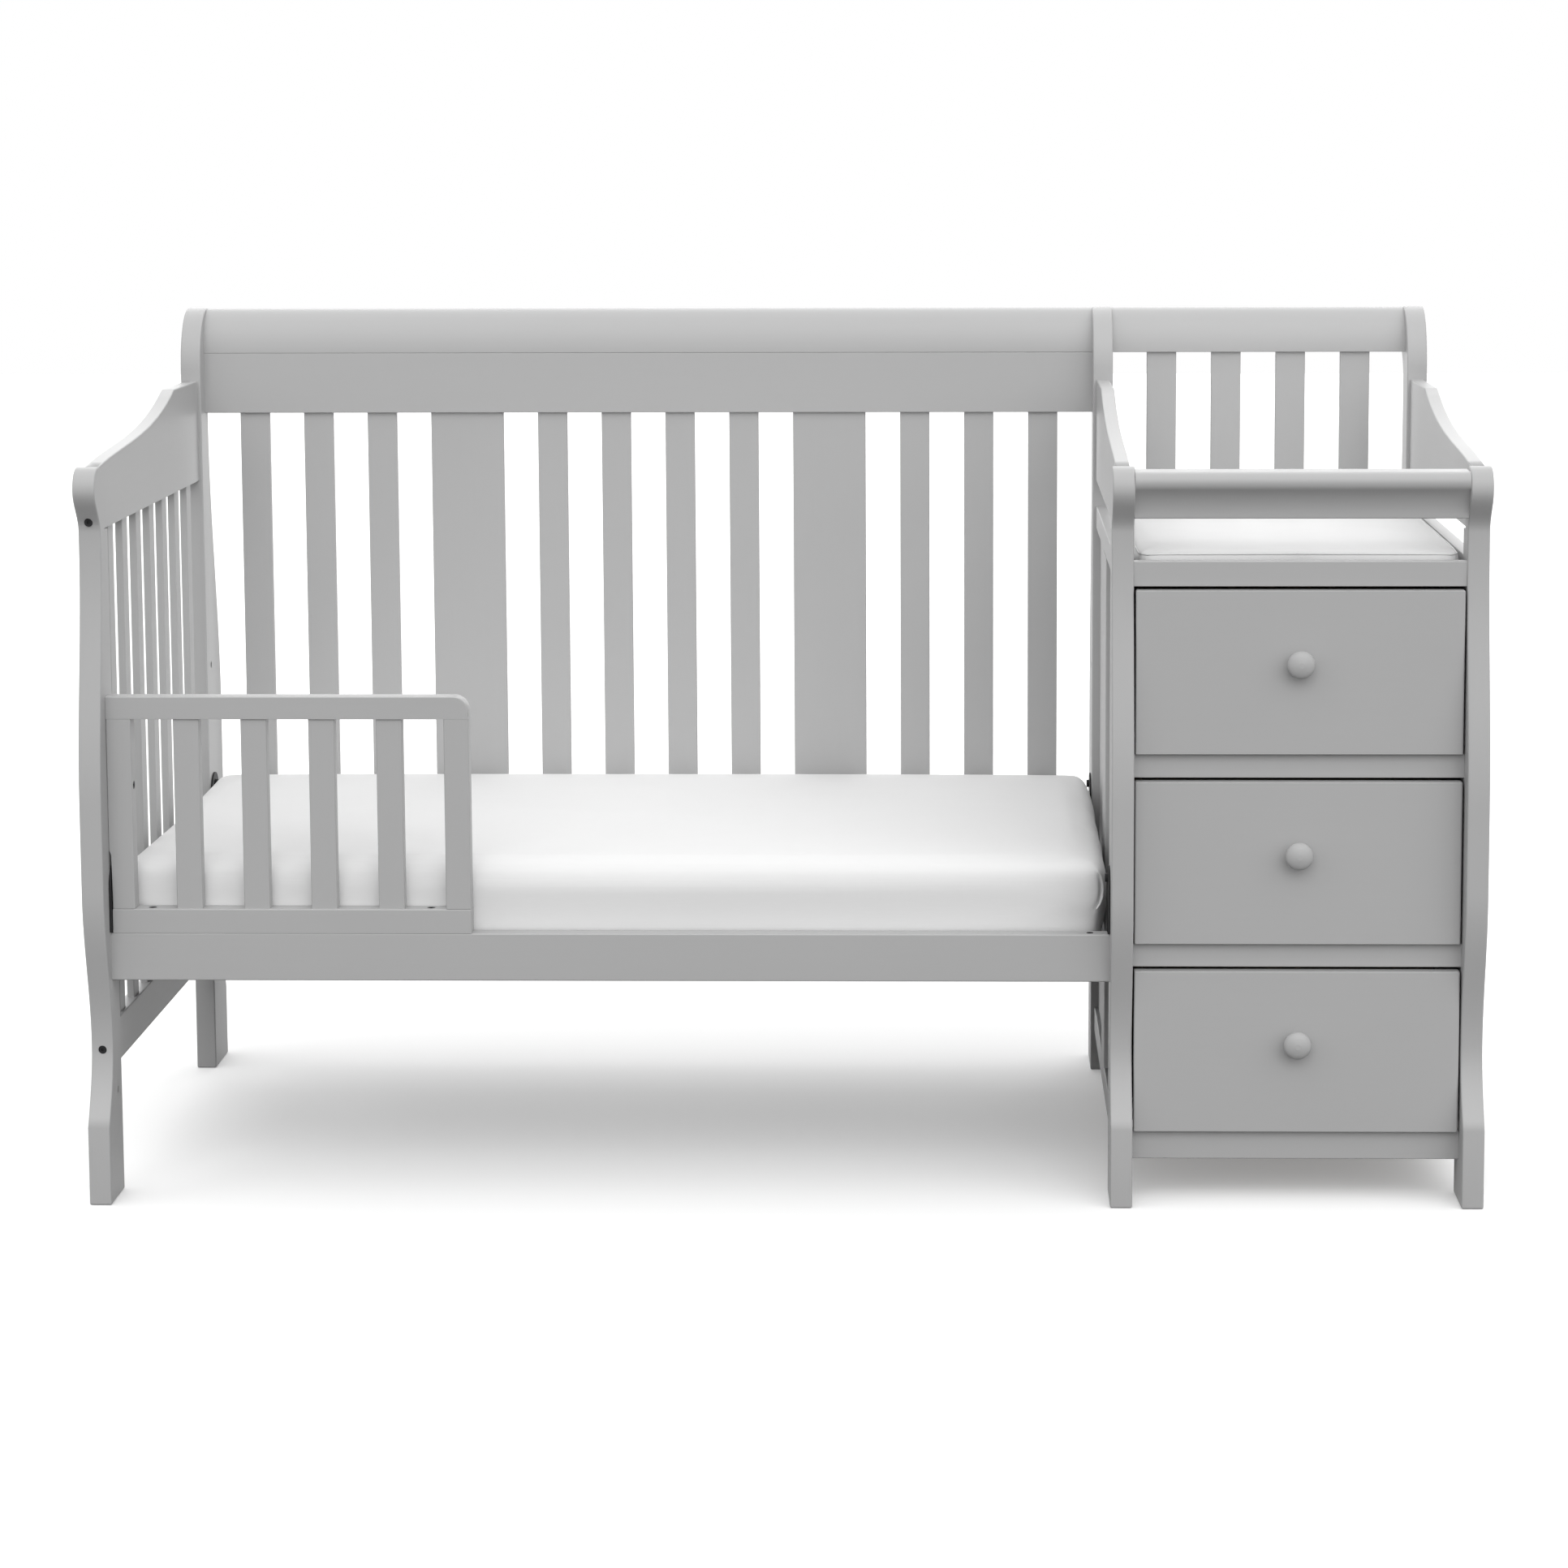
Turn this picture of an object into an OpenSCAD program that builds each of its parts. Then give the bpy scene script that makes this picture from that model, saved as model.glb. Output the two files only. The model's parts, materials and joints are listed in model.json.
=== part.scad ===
// Crib with an attached three-drawer changer, set up as a toddler bed.
// Millimetres, +Z up, the front faces -Y. The origin is on the floor, at the middle of the footprint.
// Inside the modules X runs from the left posts' outer face and Y back from the front posts' face.

/* [Overall] */
// Clear width between the crib's left and middle posts
crib_w = 1316; // [1250:2:1400]
// Clear width between the changer's posts
changer_w = 431; // [380:1:520]
// Depth from the front posts' front to the rear posts' back
depth = 826; // [790:1:880]
// Height of the front posts
front_h = 975; // [960:1:1010]
// Height of the rear posts
rear_h = 1141; // [1110:1:1200]

/* [Posts] */
// Thickness of every post
post_t = 29; // [26:0.5:36]
// Depth of a front post at its foot
front_post_w = 81.5; // [72:0.5:95]
// Depth of a rear post at its belly
rear_post_w = 105; // [95:0.5:125]
// Height of the straight part of each foot
foot_h = 104; // [70:1:130]
// Height of the ankle, the narrow place above the foot
ankle_h = 208; // [180:1:250]
// How far the ankle is set in from the post's front or back
ankle_in = 34; // [20:0.5:42]
// Height at which the belly begins
belly_low_h = 415; // [360:1:460]
// Height at which the belly ends
belly_high_h = 532; // [480:1:600]
// How far the front neck is set in
neck_in = 38; // [25:0.5:44]
// How far the rear post's foot is set in from its belly
rear_foot_in = 11; // [4:0.5:20]
// How far the rear neck is set in from the belly
rear_neck_in = 53; // [40:0.5:60]
// How far the front scroll is set in
scroll_in = 8.5; // [5:0.5:15]
// Depth of the front scroll, from its front to the arm
scroll_w = 53.5; // [48:0.5:60]
// Height of the front scroll's domed top
scroll_dome = 30; // [24:1:36]
// Depth of the rear post's rolled head in front of its top
roll_front = 65; // [55:1:75]
// Height of the rear post's front roll
roll_rise = 87; // [75:1:100]
// How far the rear head reaches back beyond its top
roll_back = 28; // [20:1:36]

/* [Arms and ends] */
// Thickness of the arms and of the end rails
arm_t = 19; // [15:0.5:22]
// From the front post's top down to the arm's straight lower edge
arm_drop = 85.5; // [70:0.5:100]
// Rise of the arm's top edge from front to rear
arm_rise = 63.5; // [40:0.5:80]
// Length of the flat part at the arm's rear end
arm_flat = 165; // [100:1:220]
// From the front post's top down to the arm's front end
arm_tuck = 2; // [1:0.5:10]
// Height of the left end's bottom rail above the floor
end_rail_z = 172; // [150:1:200]
// Height of the left end's bottom rail
end_rail_h = 58; // [40:1:70]
// Width of a slat in the left end
end_slat_w = 31; // [24:0.5:40]
// Distance from one slat of the left end to the next
end_slat_pitch = 86.7; // [75:0.1:89]

/* [Crib back] */
// Thickness of the rails in both backs
back_rail_t = 22; // [18:0.5:26]
// How far the back rails are set in from the rear posts' front
back_rail_in = 30; // [24:0.5:36]
// Height of the curved cap rail
cap_h = 64; // [50:1:75]
// How far the cap rail leans back over its height
cap_lean = 40; // [25:1:45]
// From the rear post's top down to the cap rail's top
cap_drop = 1.5; // [1:0.5:8]
// Height of the flat top rail under the crib's cap rail
top_rail_h = 88.5; // [60:0.5:120]
// Width of a narrow slat
slat_w = 43.4; // [34:0.2:48]
// Width of a wide slat
wide_slat_w = 107.5; // [80:0.5:130]
// Thickness of every slat
slat_t = 10; // [8:0.5:13]

/* [Front rail and guard] */
// Height of the front rail's lower edge
front_rail_z = 294; // [285:1:305]
// Height of the front rail
front_rail_h = 63.5; // [50:0.5:66]
// Thickness of the front rail and of the guard
front_rail_t = 24; // [20:0.5:28]
// Distance of the front rail behind the posts' front
front_rail_in = 38; // [36:0.5:44]
// Length of the guard
guard_l = 476.5; // [400:0.5:600]
// Height of the guard above the front rail
guard_h = 315.3; // [250:0.1:340]
// Height of the guard's top rail
guard_top_h = 30; // [24:0.5:40]
// Height of the guard's bottom rail
guard_base_h = 32.5; // [28:0.5:40]
// Width of a guard stile
stile_w = 33; // [28:0.5:40]
// Width of a guard slat
guard_slat_w = 34; // [26:0.5:44]
// Thickness of a guard slat
guard_slat_t = 19; // [14:0.5:20]
// Radius of the guard's free upper corner
guard_corner_r = 20; // [12:1:29]
// Depth of the relief in the guard where it passes the hanger plate
guard_relief = 3; // [2.8:0.1:5]
// Height of the relief above the front rail
guard_relief_h = 115; // [105:1:150]

/* [Mattress] */
// Mattress height
mattress_h = 133.7; // [120:0.1:150]
// Clearance between the mattress and the posts
mattress_gap = 3.5; // [3:0.1:6]
// Rise of the mattress's crown in the middle
mattress_crown = 4; // [1:0.5:8]
// Corner radius of the mattress in plan
mattress_corner_r = 30; // [24:1:90]
// Radius of the mattress's top and bottom edges
mattress_edge_r = 30; // [20:1:40]
// From the front rail's lower edge up to the mattress support's top
support_rise = 20; // [10:1:24]
// Height of the mattress support's angle frame
support_h = 20; // [16:1:25]
// Thickness of the support's steel
support_t = 2.5; // [2:0.1:3]
// Width of a support strap
strap_w = 22; // [16:1:30]
// Straps across the support
strap_count = 8; // [7:1:11]
// Width of a hanger plate
hanger_w = 50; // [40:1:56]
// Thickness of a hanger plate
hanger_t = 2.4; // [2:0.1:2.5]
// Height of a hanger plate
hanger_h = 152; // [146:1:170]

/* [Changer] */
// Height of the base rail's lower edge above the floor
base_rail_z = 56; // [45:1:75]
// Height of the base rail
base_rail_h = 38; // [30:1:50]
// Height of a drawer's front
drawer_h = 215.6; // [200:0.2:220]
// Gap between a drawer's front and the posts
drawer_side_gap = 2.5; // [1.5:0.1:4]
// Gap above a drawer's front
drawer_top_gap = 4; // [2:0.2:6]
// Gap below a drawer's front
drawer_low_gap = 0.6; // [0.5:0.1:2]
// Height of a dividing rail
divider_h = 31.4; // [24:0.2:36]
// Thickness of the changer's front rails
divider_t = 18; // [14:0.5:22]
// Distance of the changer's front rails behind the posts' front
divider_in = 40; // [38:0.5:44]
// Thickness of a drawer's front
drawer_front_t = 20; // [16:0.5:24]
// Distance of the drawers' faces behind the posts' front
drawer_in = 30; // [28:0.5:36]
// Height of the side panels' lower rail
side_low_h = 36; // [30:1:50]
// Height of the side panels' upper rail and the tray's front rail
tray_rail_h = 33; // [28:0.5:44]
// Thickness of the side panels' rails
side_rail_t = 18.2; // [15:0.1:20]
// Width of the side panels' centre muntin
muntin_w = 93; // [60:1:120]
// Thickness of a recessed side panel
side_panel_t = 6; // [4:0.5:6.5]
// From the tray's front rail's top down to the deck's top
deck_drop = 20; // [15:0.5:22]
// Thickness of the tray's deck
deck_t = 12; // [9:0.5:12]
// Height of the changing pad
pad_h = 33; // [28:1:50]
// Clearance between the changing pad and the posts
pad_gap = 4; // [3:0.5:8]
// Rise of the changing pad's crown
pad_crown = 2; // [1:0.5:6]
// From the front post's top down to the rolled rail's lower edge
roll_rail_drop = 68; // [60:1:74]
// How far the rolled rail is set in from the front scroll
roll_rail_in = 2.5; // [1.5:0.5:5]
// From the front post's top down to the rolled rail's top
roll_rail_low = 6; // [3:0.5:10]
// Radius of the rolled rail's upper edge
roll_rail_r = 13.5; // [9:0.5:16]

/* [Drawer boxes] */
// Thickness of the drawer boxes' walls
box_t = 12; // [9:0.5:14]
// Height of the drawer boxes' walls
box_h = 150; // [110:1:160]
// Outside depth of a drawer box behind its front
box_d = 590; // [500:1:610]
// Height of the box's lower edge above the front's lower edge
box_rise = 24; // [20:1:30]
// Thickness of the drawer's bottom
bottom_t = 4; // [3:0.5:6]
// Height of the groove above the box's lower edge
groove_rise = 8; // [6:0.5:12]
// Depth of the groove for the drawer's bottom
groove_d = 4; // [3:0.5:6]
// Diameter of a knob
knob_d = 36.5; // [28:0.5:44]
// How far a knob stands out from the drawer's face
knob_l = 27; // [20:0.5:28]
// Height of a knob above the middle of its drawer
knob_up = 13; // [0:1:30]

/* [Runners] */
// Space between the posts and a drawer box, for a runner
runner_w = 12.5; // [12:0.1:14]
// Height of the cabinet's runner channel
runner_h = 30; // [28:0.5:34]
// Thickness of the runners' steel
runner_t = 1.2; // [1:0.1:1.5]
// Diameter of the roller at the front of a channel
roller_d = 16; // [12:0.5:17]

/* [Fasteners] */
// Diameter of the socket bolts
bolt_d = 6; // [5:0.5:7]
// Diameter of a socket bolt's head
bolt_head_d = 11; // [10:0.5:13]
// Height of a socket bolt's head
bolt_head_h = 4; // [3:0.5:5]
// Length of the bolts in the left end's rails
end_bolt_l = 80; // [70:1:100]
// Diameter of the barrel nuts
barrel_d = 9.2; // [8:0.2:11]
// Length of the barrel nuts
barrel_l = 16; // [12:0.5:18]
// From a rail's end to its barrel nut
barrel_in = 26; // [20:0.5:30]
// Diameter of the spare holes for the hanger bolts
spare_hole_d = 10; // [7:0.5:12]
// Depth of the spare holes
spare_hole_l = 18; // [12:1:22]

/* [Hidden] */
$fn = 48;
fit = 0.1;    // a round shank in its hole, all round
seat = 0.3;   // a soft or hung piece above what carries it
sink = 0.5;   // a bolt's head below the face around it
rail_lip = 3; // what hides the hanger plate at the front rail's ends
drawer_count = 3;

// Heights that belong to the posts' outlines, down from an arm or a post's top
neck_drop = 21;
rear_neck_drop = [167, 102];
rear_back_drop = 35;

// Places of the bolts and of the spare holes
hanger_bolt_drop = 16;
support_bolt_in = 8;
hanger_rear_in = 7;
spare_up = 179;
spare_down = 288;
guard_bolt_rise = 196;
guard_bolt_in = 21;
arm_bolt_rise = 13;
end_bolt_sink = 2;
post_thread_l = 16;
ear_w = 24;

// Changer details
side_low_rise = 5;
back_rail_low = 24;
back_panel_t = 4;
pad_corner_r = 22;
screw_d = 4;
screw_head_d = 8;
screw_head_h = 2.6;
screw_in = 15;
pin_d = 5;      // a roller's pin
strip_up = 12;  // the drawer's strip above its channel
runner_drop = 14;

// Stations across the width
left_in = post_t;
middle_out = left_in + crib_w;
middle_in = middle_out + post_t;
right_in = middle_in + changer_w;
total_w = right_in + post_t;
changer_mid = (middle_in + right_in)/2;

// Stations front to back
post_back = front_post_w;
rear_front = depth - rear_post_w;
back_face = rear_front + back_rail_in;
slat_face = back_face + (back_rail_t - slat_t)/2;
scroll_back = scroll_in + scroll_w;
arm_run = rear_front - scroll_back;
rail_back = front_rail_in + front_rail_t;
hanger_front_y = post_back - hanger_w/2;
hanger_rear_y = rear_front + hanger_rear_in + hanger_w/2;

// Heights
arm_z = front_h - arm_drop;
neck_z = arm_z - neck_drop;
scroll_z = front_h - scroll_dome;
rear_neck_low = rear_h - rear_neck_drop[0];
rear_neck_high = rear_h - rear_neck_drop[1];
rear_roll_z = rear_h - roll_rise;
rear_back_z = rear_h - rear_back_drop;
cap_top = rear_h - cap_drop;
cap_z = cap_top - cap_h;
top_rail_z = cap_z - top_rail_h;
drawer_pitch = drawer_low_gap + drawer_h + drawer_top_gap + divider_h;
drawer_z0 = base_rail_z + base_rail_h + drawer_low_gap;
tray_z = base_rail_z + base_rail_h + drawer_count*drawer_pitch - divider_h;
tray_top = tray_z + tray_rail_h;
deck_top = tray_top - deck_drop;
back_low_z = tray_z - back_rail_low;
side_low_z = base_rail_z + side_low_rise;
front_rail_top = front_rail_z + front_rail_h;
guard_top = front_rail_top + guard_h;
guard_base_top = front_rail_top + guard_base_h;
slats_top = guard_top - guard_top_h;
support_top = front_rail_z + support_rise;
mattress_z = support_top + seat;
hanger_z = support_top - support_h;
hanger_top = hanger_z + hanger_h;
hanger_bolt_z = hanger_top - hanger_bolt_drop;
support_bolt_z = support_top - support_h/2;
spare_high_z = hanger_bolt_z + spare_up;
spare_low_z = hanger_bolt_z - spare_down;
guard_bolt_z = front_rail_top + guard_bolt_rise;
end_bolt_z = [end_rail_z + end_rail_h/2, arm_z + arm_bolt_rise];

// Drawer boxes and runners
box_left = middle_in + runner_w;
box_right = right_in - runner_w;
box_front = drawer_in + drawer_front_t;
box_back = box_front + box_d;
runner_front = box_front + 2;
runner_back = rear_front + 30;
runner_flange = runner_w - 3;

// Mattress and pad limits
mattress_lo = [left_in + mattress_gap, rail_back + 1, mattress_z];
mattress_hi = [middle_out - mattress_gap, slat_face - 1.5, mattress_z + mattress_h - mattress_crown];
pad_lo = [middle_in + pad_gap, divider_in + divider_t + 2, deck_top + seat];
pad_hi = [right_in - pad_gap, back_face - 8, deck_top + seat + pad_h - pad_crown];

paint = [0.69, 0.69, 0.69];
white = [0.93, 0.93, 0.93];
steel = [0.12, 0.12, 0.12];
bare_wood = [0.80, 0.72, 0.58];
zinc = [0.62, 0.63, 0.65];

// ---- Curves ----

// From a to b with a level start and a level end
function ease(a, b, steps = 12) = [for (i = [0:steps - 1])
    let (t = i/steps) [a.x + (b.x - a.x)*(1 - cos(180*t))/2, a.y + (b.y - a.y)*t]];

// From a to b, steep at a and level at b
function flare(a, b, steps = 8) = [for (i = [0:steps - 1])
    let (t = i/steps) [a.x + (b.x - a.x)*sin(90*t), a.y + (b.y - a.y)*t]];

// Part of an ellipse
function oval(centre, rx, rz, from, to, steps = 10) = [for (i = [0:steps])
    let (a = from + (to - from)*i/steps) [centre.x + rx*cos(a), centre.y + rz*sin(a)]];

function reversed(points) = [for (i = [len(points) - 1:-1:0]) points[i]];

// Where an outline's edge lies at one height, for an edge listed from the floor up
function edge_at(edge, z) = lookup(z, [for (p = edge) [p.y, p.x]]);

// Front edge of a front post, from the floor to the start of its scroll
front_edge = concat(
    [[0, 0]],
    flare([0, foot_h], [ankle_in, ankle_h]),
    ease([ankle_in, ankle_h], [0, belly_low_h]),
    [[0, belly_low_h]],
    ease([0, belly_high_h], [neck_in, neck_z]),
    [[neck_in, neck_z]]
);

// Rear edge of a rear post, from the floor to its neck
rear_edge = concat(
    [[depth - rear_foot_in, 0]],
    flare([depth - rear_foot_in, foot_h], [depth - ankle_in, ankle_h]),
    ease([depth - ankle_in, ankle_h], [depth, belly_low_h]),
    [[depth, belly_low_h]],
    ease([depth, belly_high_h], [depth - rear_neck_in, rear_neck_low]),
    [[depth - rear_neck_in, rear_neck_low]],
    ease([depth - rear_neck_in, rear_neck_high], [rear_front + roll_front + roll_back, rear_back_z])
);

// Scroll on the front posts, from start_z on the cove below it, over its dome to its back.
// The rolled rail's scroll is drawn in by inset and is lower by drop.
function scroll(inset, drop, start_z) =
    let (low = [neck_in + inset, arm_z], wide = [scroll_in + inset, scroll_z],
         cove = [for (p = ease(low, wide)) if (p.y > start_z + 1) p],
         first = [edge_at(concat(ease(low, wide), [wide]), start_z), start_z])
    concat([first], cove,
        oval([scroll_in + scroll_w/2, scroll_z], scroll_w/2 - inset, scroll_dome - drop, 180, 0, 16));

// ---- Shared shapes ----

module in_place() {
    translate([-total_w/2, -depth/2, 0]) children();
}

// A flat shape drawn in Y and Z, made thick along X from x
module along_x(x, t) {
    translate([x, 0, 0]) rotate([90, 0, 90]) linear_extrude(t) children();
}

// A flat shape drawn in X and Z, made thick along Y from y
module along_y(y, t) {
    translate([0, y + t, 0]) rotate([90, 0, 0]) linear_extrude(t) children();
}

// A bar between two corners
module bar(lo, hi) {
    translate(lo) cube(hi - lo);
}

// A round bar from a point along +X, +Y or +Z by the given turn
module rod(at, turn, d, l) {
    translate(at) rotate(turn) cylinder(d = d, h = l);
}

// The same piece on the other side of the crib
module crib_mirrored() {
    translate([left_in + middle_out, 0, 0]) mirror([1, 0, 0]) children();
}

// The same piece on the other side of the changer
module changer_mirrored() {
    translate([2*changer_mid, 0, 0]) mirror([1, 0, 0]) children();
}

// Evenly spaced slats that fill a width with equal gaps
function slat_starts(widths, from, to) =
    let (gap = (to - from - total(widths))/(len(widths) + 1))
    [for (i = [0:len(widths) - 1]) from + gap*(i + 1) + total([for (j = [0:1:i - 1]) widths[j]])];

function total(list, i = 0) = i < len(list) ? list[i] + total(list, i + 1) : 0;

module slats(widths, from, to, y, t, z_lo, z_hi) {
    starts = slat_starts(widths, from, to);
    for (i = [0:len(widths) - 1])
        bar([starts[i], y, z_lo], [starts[i] + widths[i], y + t, z_hi]);
}

// Socket bolt whose head's top is at the origin and whose shank runs along -Z
module socket_bolt(l) {
    difference() {
        union() {
            translate([0, 0, -bolt_head_h]) cylinder(d = bolt_head_d, h = bolt_head_h);
            translate([0, 0, -bolt_head_h - l]) cylinder(d = bolt_d, h = l + 0.1);
        }
        translate([0, 0, -bolt_head_h*0.6]) cylinder(d = bolt_d*0.9, h = bolt_head_h, $fn = 6);
    }
}

// Room for a socket bolt: its shank's hole and a counterbore that is open above the head
module bolt_room(l, open) {
    translate([0, 0, -bolt_head_h]) cylinder(d = bolt_head_d + 0.6, h = bolt_head_h + open);
    translate([0, 0, -bolt_head_h - l - 1]) cylinder(d = bolt_d + 2*fit, h = l + 2);
}

// ---- Posts ----

module front_outline() {
    polygon(concat(front_edge, scroll(0, 0, arm_z),
        [[scroll_back, arm_z], [post_back, arm_z], [post_back, 0]]));
}

module rear_outline() {
    top = [rear_front + roll_front, rear_h];
    polygon(concat(
        [[rear_front, 0]],
        reversed(oval([top.x, rear_roll_z], roll_front, roll_rise, 90, 180)),
        reversed(oval([top.x, rear_back_z], roll_back, rear_h - rear_back_z, 8, 82)),
        reversed(rear_edge)));
}

// Bolts that hold the left end's rails, through the left front and rear posts
module end_bolt_places() {
    x = left_in/2;
    for (z = end_bolt_z) {
        translate([x, end_face(z), z]) rotate([90, 0, 0]) children();
        translate([x, rear_face(z), z]) rotate([-90, 0, 0]) children();
    }
}

function end_face(z) = z > arm_z ? neck_in - end_bolt_sink - 1 : edge_at(front_edge, z) + end_bolt_sink;
function rear_face(z) = edge_at(rear_edge, z) - end_bolt_sink;

// Bolts along X through the posts into the ends of the crib's cross rails
rail_bolt_spots = [
    [(front_rail_in + rail_back)/2, front_rail_z + front_rail_h*0.45],
    [back_face + back_rail_t/2, end_rail_z + end_rail_h/4],
    [back_face + back_rail_t/2, top_rail_z + top_rail_h/2]
];

module rail_bolt_places() {
    for (p = rail_bolt_spots) {
        translate([sink, p.x, p.y]) rotate([0, -90, 0]) children();
        crib_mirrored() translate([sink, p.x, p.y]) rotate([0, -90, 0]) children();
    }
}

rail_bolt_l = left_in + barrel_in + 4 - bolt_head_h;

// Hanger bolts on the crib's four posts, with their shanks pointing into the posts
module hanger_places(z, reach, front_y = hanger_front_y) {
    for (y = [front_y, hanger_rear_y]) {
        translate([left_in + reach, y, z]) rotate([0, 90, 0]) children();
        translate([middle_out - reach, y, z]) rotate([0, -90, 0]) children();
    }
}

hanger_bolt_l = hanger_t + post_thread_l;
guard_stile_bolt_l = stile_w - bolt_head_h + post_thread_l;

module guard_stile_bolt_place() {
    translate([left_in + stile_w - sink, (front_rail_in + rail_back)/2, guard_bolt_z])
        rotate([0, 90, 0]) children();
}

module spare_holes() {
    for (side = [0, 1], front = [0, 1]) {
        y = front == 1 ? hanger_front_y : hanger_rear_y;
        z = front == 1 ? spare_low_z : spare_high_z;
        x = side == 1 ? left_in - spare_hole_l : middle_out - 1;
        rod([x, y, z], [0, 90, 0], spare_hole_d, spare_hole_l + 1);
    }
}

module post_cuts() {
    end_bolt_places() bolt_room(end_bolt_l, 60);
    rail_bolt_places() bolt_room(rail_bolt_l, 10);
    hanger_places(hanger_bolt_z, hanger_t + bolt_head_h) bolt_room(hanger_bolt_l, 1);
    guard_stile_bolt_place() bolt_room(guard_stile_bolt_l, 1);
    spare_holes();
}

module front_post(x) {
    color(paint) in_place() difference() {
        along_x(x, post_t) front_outline();
        post_cuts();
    }
}

module rear_post(x) {
    color(paint) in_place() difference() {
        along_x(x, post_t) rear_outline();
        post_cuts();
    }
}

// ---- Arms and ends ----

// The arm's top edge: a low swell, then a sweep up to the rear
function arm_edge(steps = 16) =
    let (run = arm_run - arm_flat, low = front_h - arm_tuck, start_slope = 0.9, end_slope = 2.6)
    [for (i = [0:steps]) let (t = i/steps,
        rise = (pow(t, 3) - 2*t*t + t)*start_slope + 3*t*t - 2*pow(t, 3)
            + (pow(t, 3) - t*t)*end_slope)
        [scroll_back + run*t, low + arm_rise*rise]];

module arm(post_x) {
    color(paint) in_place() difference() {
        along_x(post_x + (post_t - arm_t)/2, arm_t)
            polygon(concat([[scroll_back, arm_z]], arm_edge(),
                [[rear_front, front_h - arm_tuck + arm_rise], [rear_front, arm_z]]));
        if (post_x == 0) end_bolt_places() bolt_room(end_bolt_l, 60);
    }
}

module end_bottom_rail() {
    x = (post_t - arm_t)/2;
    color(paint) in_place() difference() {
        bar([x, post_back, end_rail_z], [x + arm_t, rear_front, end_rail_z + end_rail_h]);
        end_bolt_places() bolt_room(end_bolt_l, 60);
    }
}

module end_slats() {
    middle_y = (post_back + rear_front)/2;
    x = (post_t - slat_t)/2;
    color(paint) in_place() for (i = [-3:3]) {
        y = middle_y + i*end_slat_pitch - end_slat_w/2;
        bar([x, y, end_rail_z + end_rail_h], [x + slat_t, y + end_slat_w, arm_z]);
    }
}

// ---- Side panels of the changer ----

module both_sides() {
    children();
    changer_mirrored() children();
}

side_x = middle_out + (post_t - side_rail_t)/2;

module side_rail(z, h) {
    bar([side_x, post_back, z], [side_x + side_rail_t, rear_front, z + h]);
}

module side_upper_rails() {
    color(paint) in_place() both_sides() side_rail(tray_z, tray_rail_h);
}

module side_lower_rails() {
    color(paint) in_place() both_sides() side_rail(side_low_z, side_low_h);
}

muntin_y = (post_back + rear_front - muntin_w)/2;

module side_muntins() {
    color(paint) in_place() both_sides()
        bar([side_x, muntin_y, side_low_z + side_low_h],
            [side_x + side_rail_t, muntin_y + muntin_w, tray_z]);
}

module side_panels() {
    x = side_x + (side_rail_t - side_panel_t)/2;
    lo = side_low_z + side_low_h;
    color(paint) in_place() both_sides() {
        bar([x, post_back, lo], [x + side_panel_t, muntin_y, tray_z]);
        bar([x, muntin_y + muntin_w, lo], [x + side_panel_t, rear_front, tray_z]);
    }
}

// ---- Backs ----

// Section of the curved cap rail: it rolls back like the posts' heads
module cap_outline() {
    nose = cap_h*0.4;
    polygon(concat(
        reversed(oval([back_face + cap_lean, cap_z], cap_lean, cap_h, 90, 180, 12)),
        reversed(oval([back_face + cap_lean, cap_top - nose], nose*0.55, nose, 0, 82, 6)),
        [[back_face + back_rail_t + 6, cap_z + 10], [back_face + back_rail_t, cap_z]]));
}

module crib_cap_rail() {
    color(paint) in_place() along_x(left_in, crib_w) cap_outline();
}

module changer_cap_rail() {
    color(paint) in_place() along_x(middle_in, changer_w) cap_outline();
}

module back_rail(x_lo, x_hi, z, h) {
    bar([x_lo, back_face, z], [x_hi, back_face + back_rail_t, z + h]);
}

module rail_cuts() {
    rail_bolt_places() bolt_room(rail_bolt_l, 10);
    barrel_places() cylinder(d = barrel_d + 2*fit, h = barrel_room);
}

module crib_top_rail() {
    color(paint) in_place() difference() {
        back_rail(left_in, middle_out, top_rail_z, top_rail_h);
        rail_cuts();
    }
}

module crib_bottom_rail() {
    color(paint) in_place() difference() {
        back_rail(left_in, middle_out, end_rail_z, end_rail_h);
        rail_cuts();
    }
}

module crib_slats() {
    n = slat_w;
    w = wide_slat_w;
    color(paint) in_place()
        slats([n, n, n, w, n, n, n, n, w, n, n, n], left_in, middle_out,
            slat_face, slat_t, end_rail_z + end_rail_h, top_rail_z);
}

module changer_slats() {
    color(paint) in_place()
        slats([slat_w, slat_w, slat_w, slat_w], middle_in, right_in,
            slat_face, slat_t, tray_top, cap_z);
}

module changer_back_rails() {
    color(paint) in_place() {
        back_rail(middle_in, right_in, back_low_z, tray_top - back_low_z);
        back_rail(middle_in, right_in, side_low_z, side_low_h);
    }
}

module changer_back_panel() {
    y = back_face + (back_rail_t - back_panel_t)/2;
    color(paint) in_place()
        bar([middle_in, y, side_low_z + side_low_h], [right_in, y + back_panel_t, back_low_z]);
}

// ---- Front rail and guard ----

// Barrel nuts: in the front rail from above, in the back rails from behind
barrel_room = 0.5*front_rail_h + barrel_l/2 + 6;

module barrel_places() {
    for (side = [0, 1]) {
        x = side == 0 ? left_in + barrel_in : middle_out - barrel_in;
        front = rail_bolt_spots[0];
        translate([x, front.x, front.y - barrel_l/2]) children();
        for (p = [rail_bolt_spots[1], rail_bolt_spots[2]])
            translate([x, p.x - barrel_l/2, p.y]) rotate([-90, 0, 0]) children();
    }
}

// Room behind the lip at each end of the front rail, for the hanger plates
module rail_end_relief() {
    bar([left_in - 1, front_rail_in + rail_lip, front_rail_z - 1],
        [left_in + guard_relief, rail_back + 1, front_rail_top + 1]);
}

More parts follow.
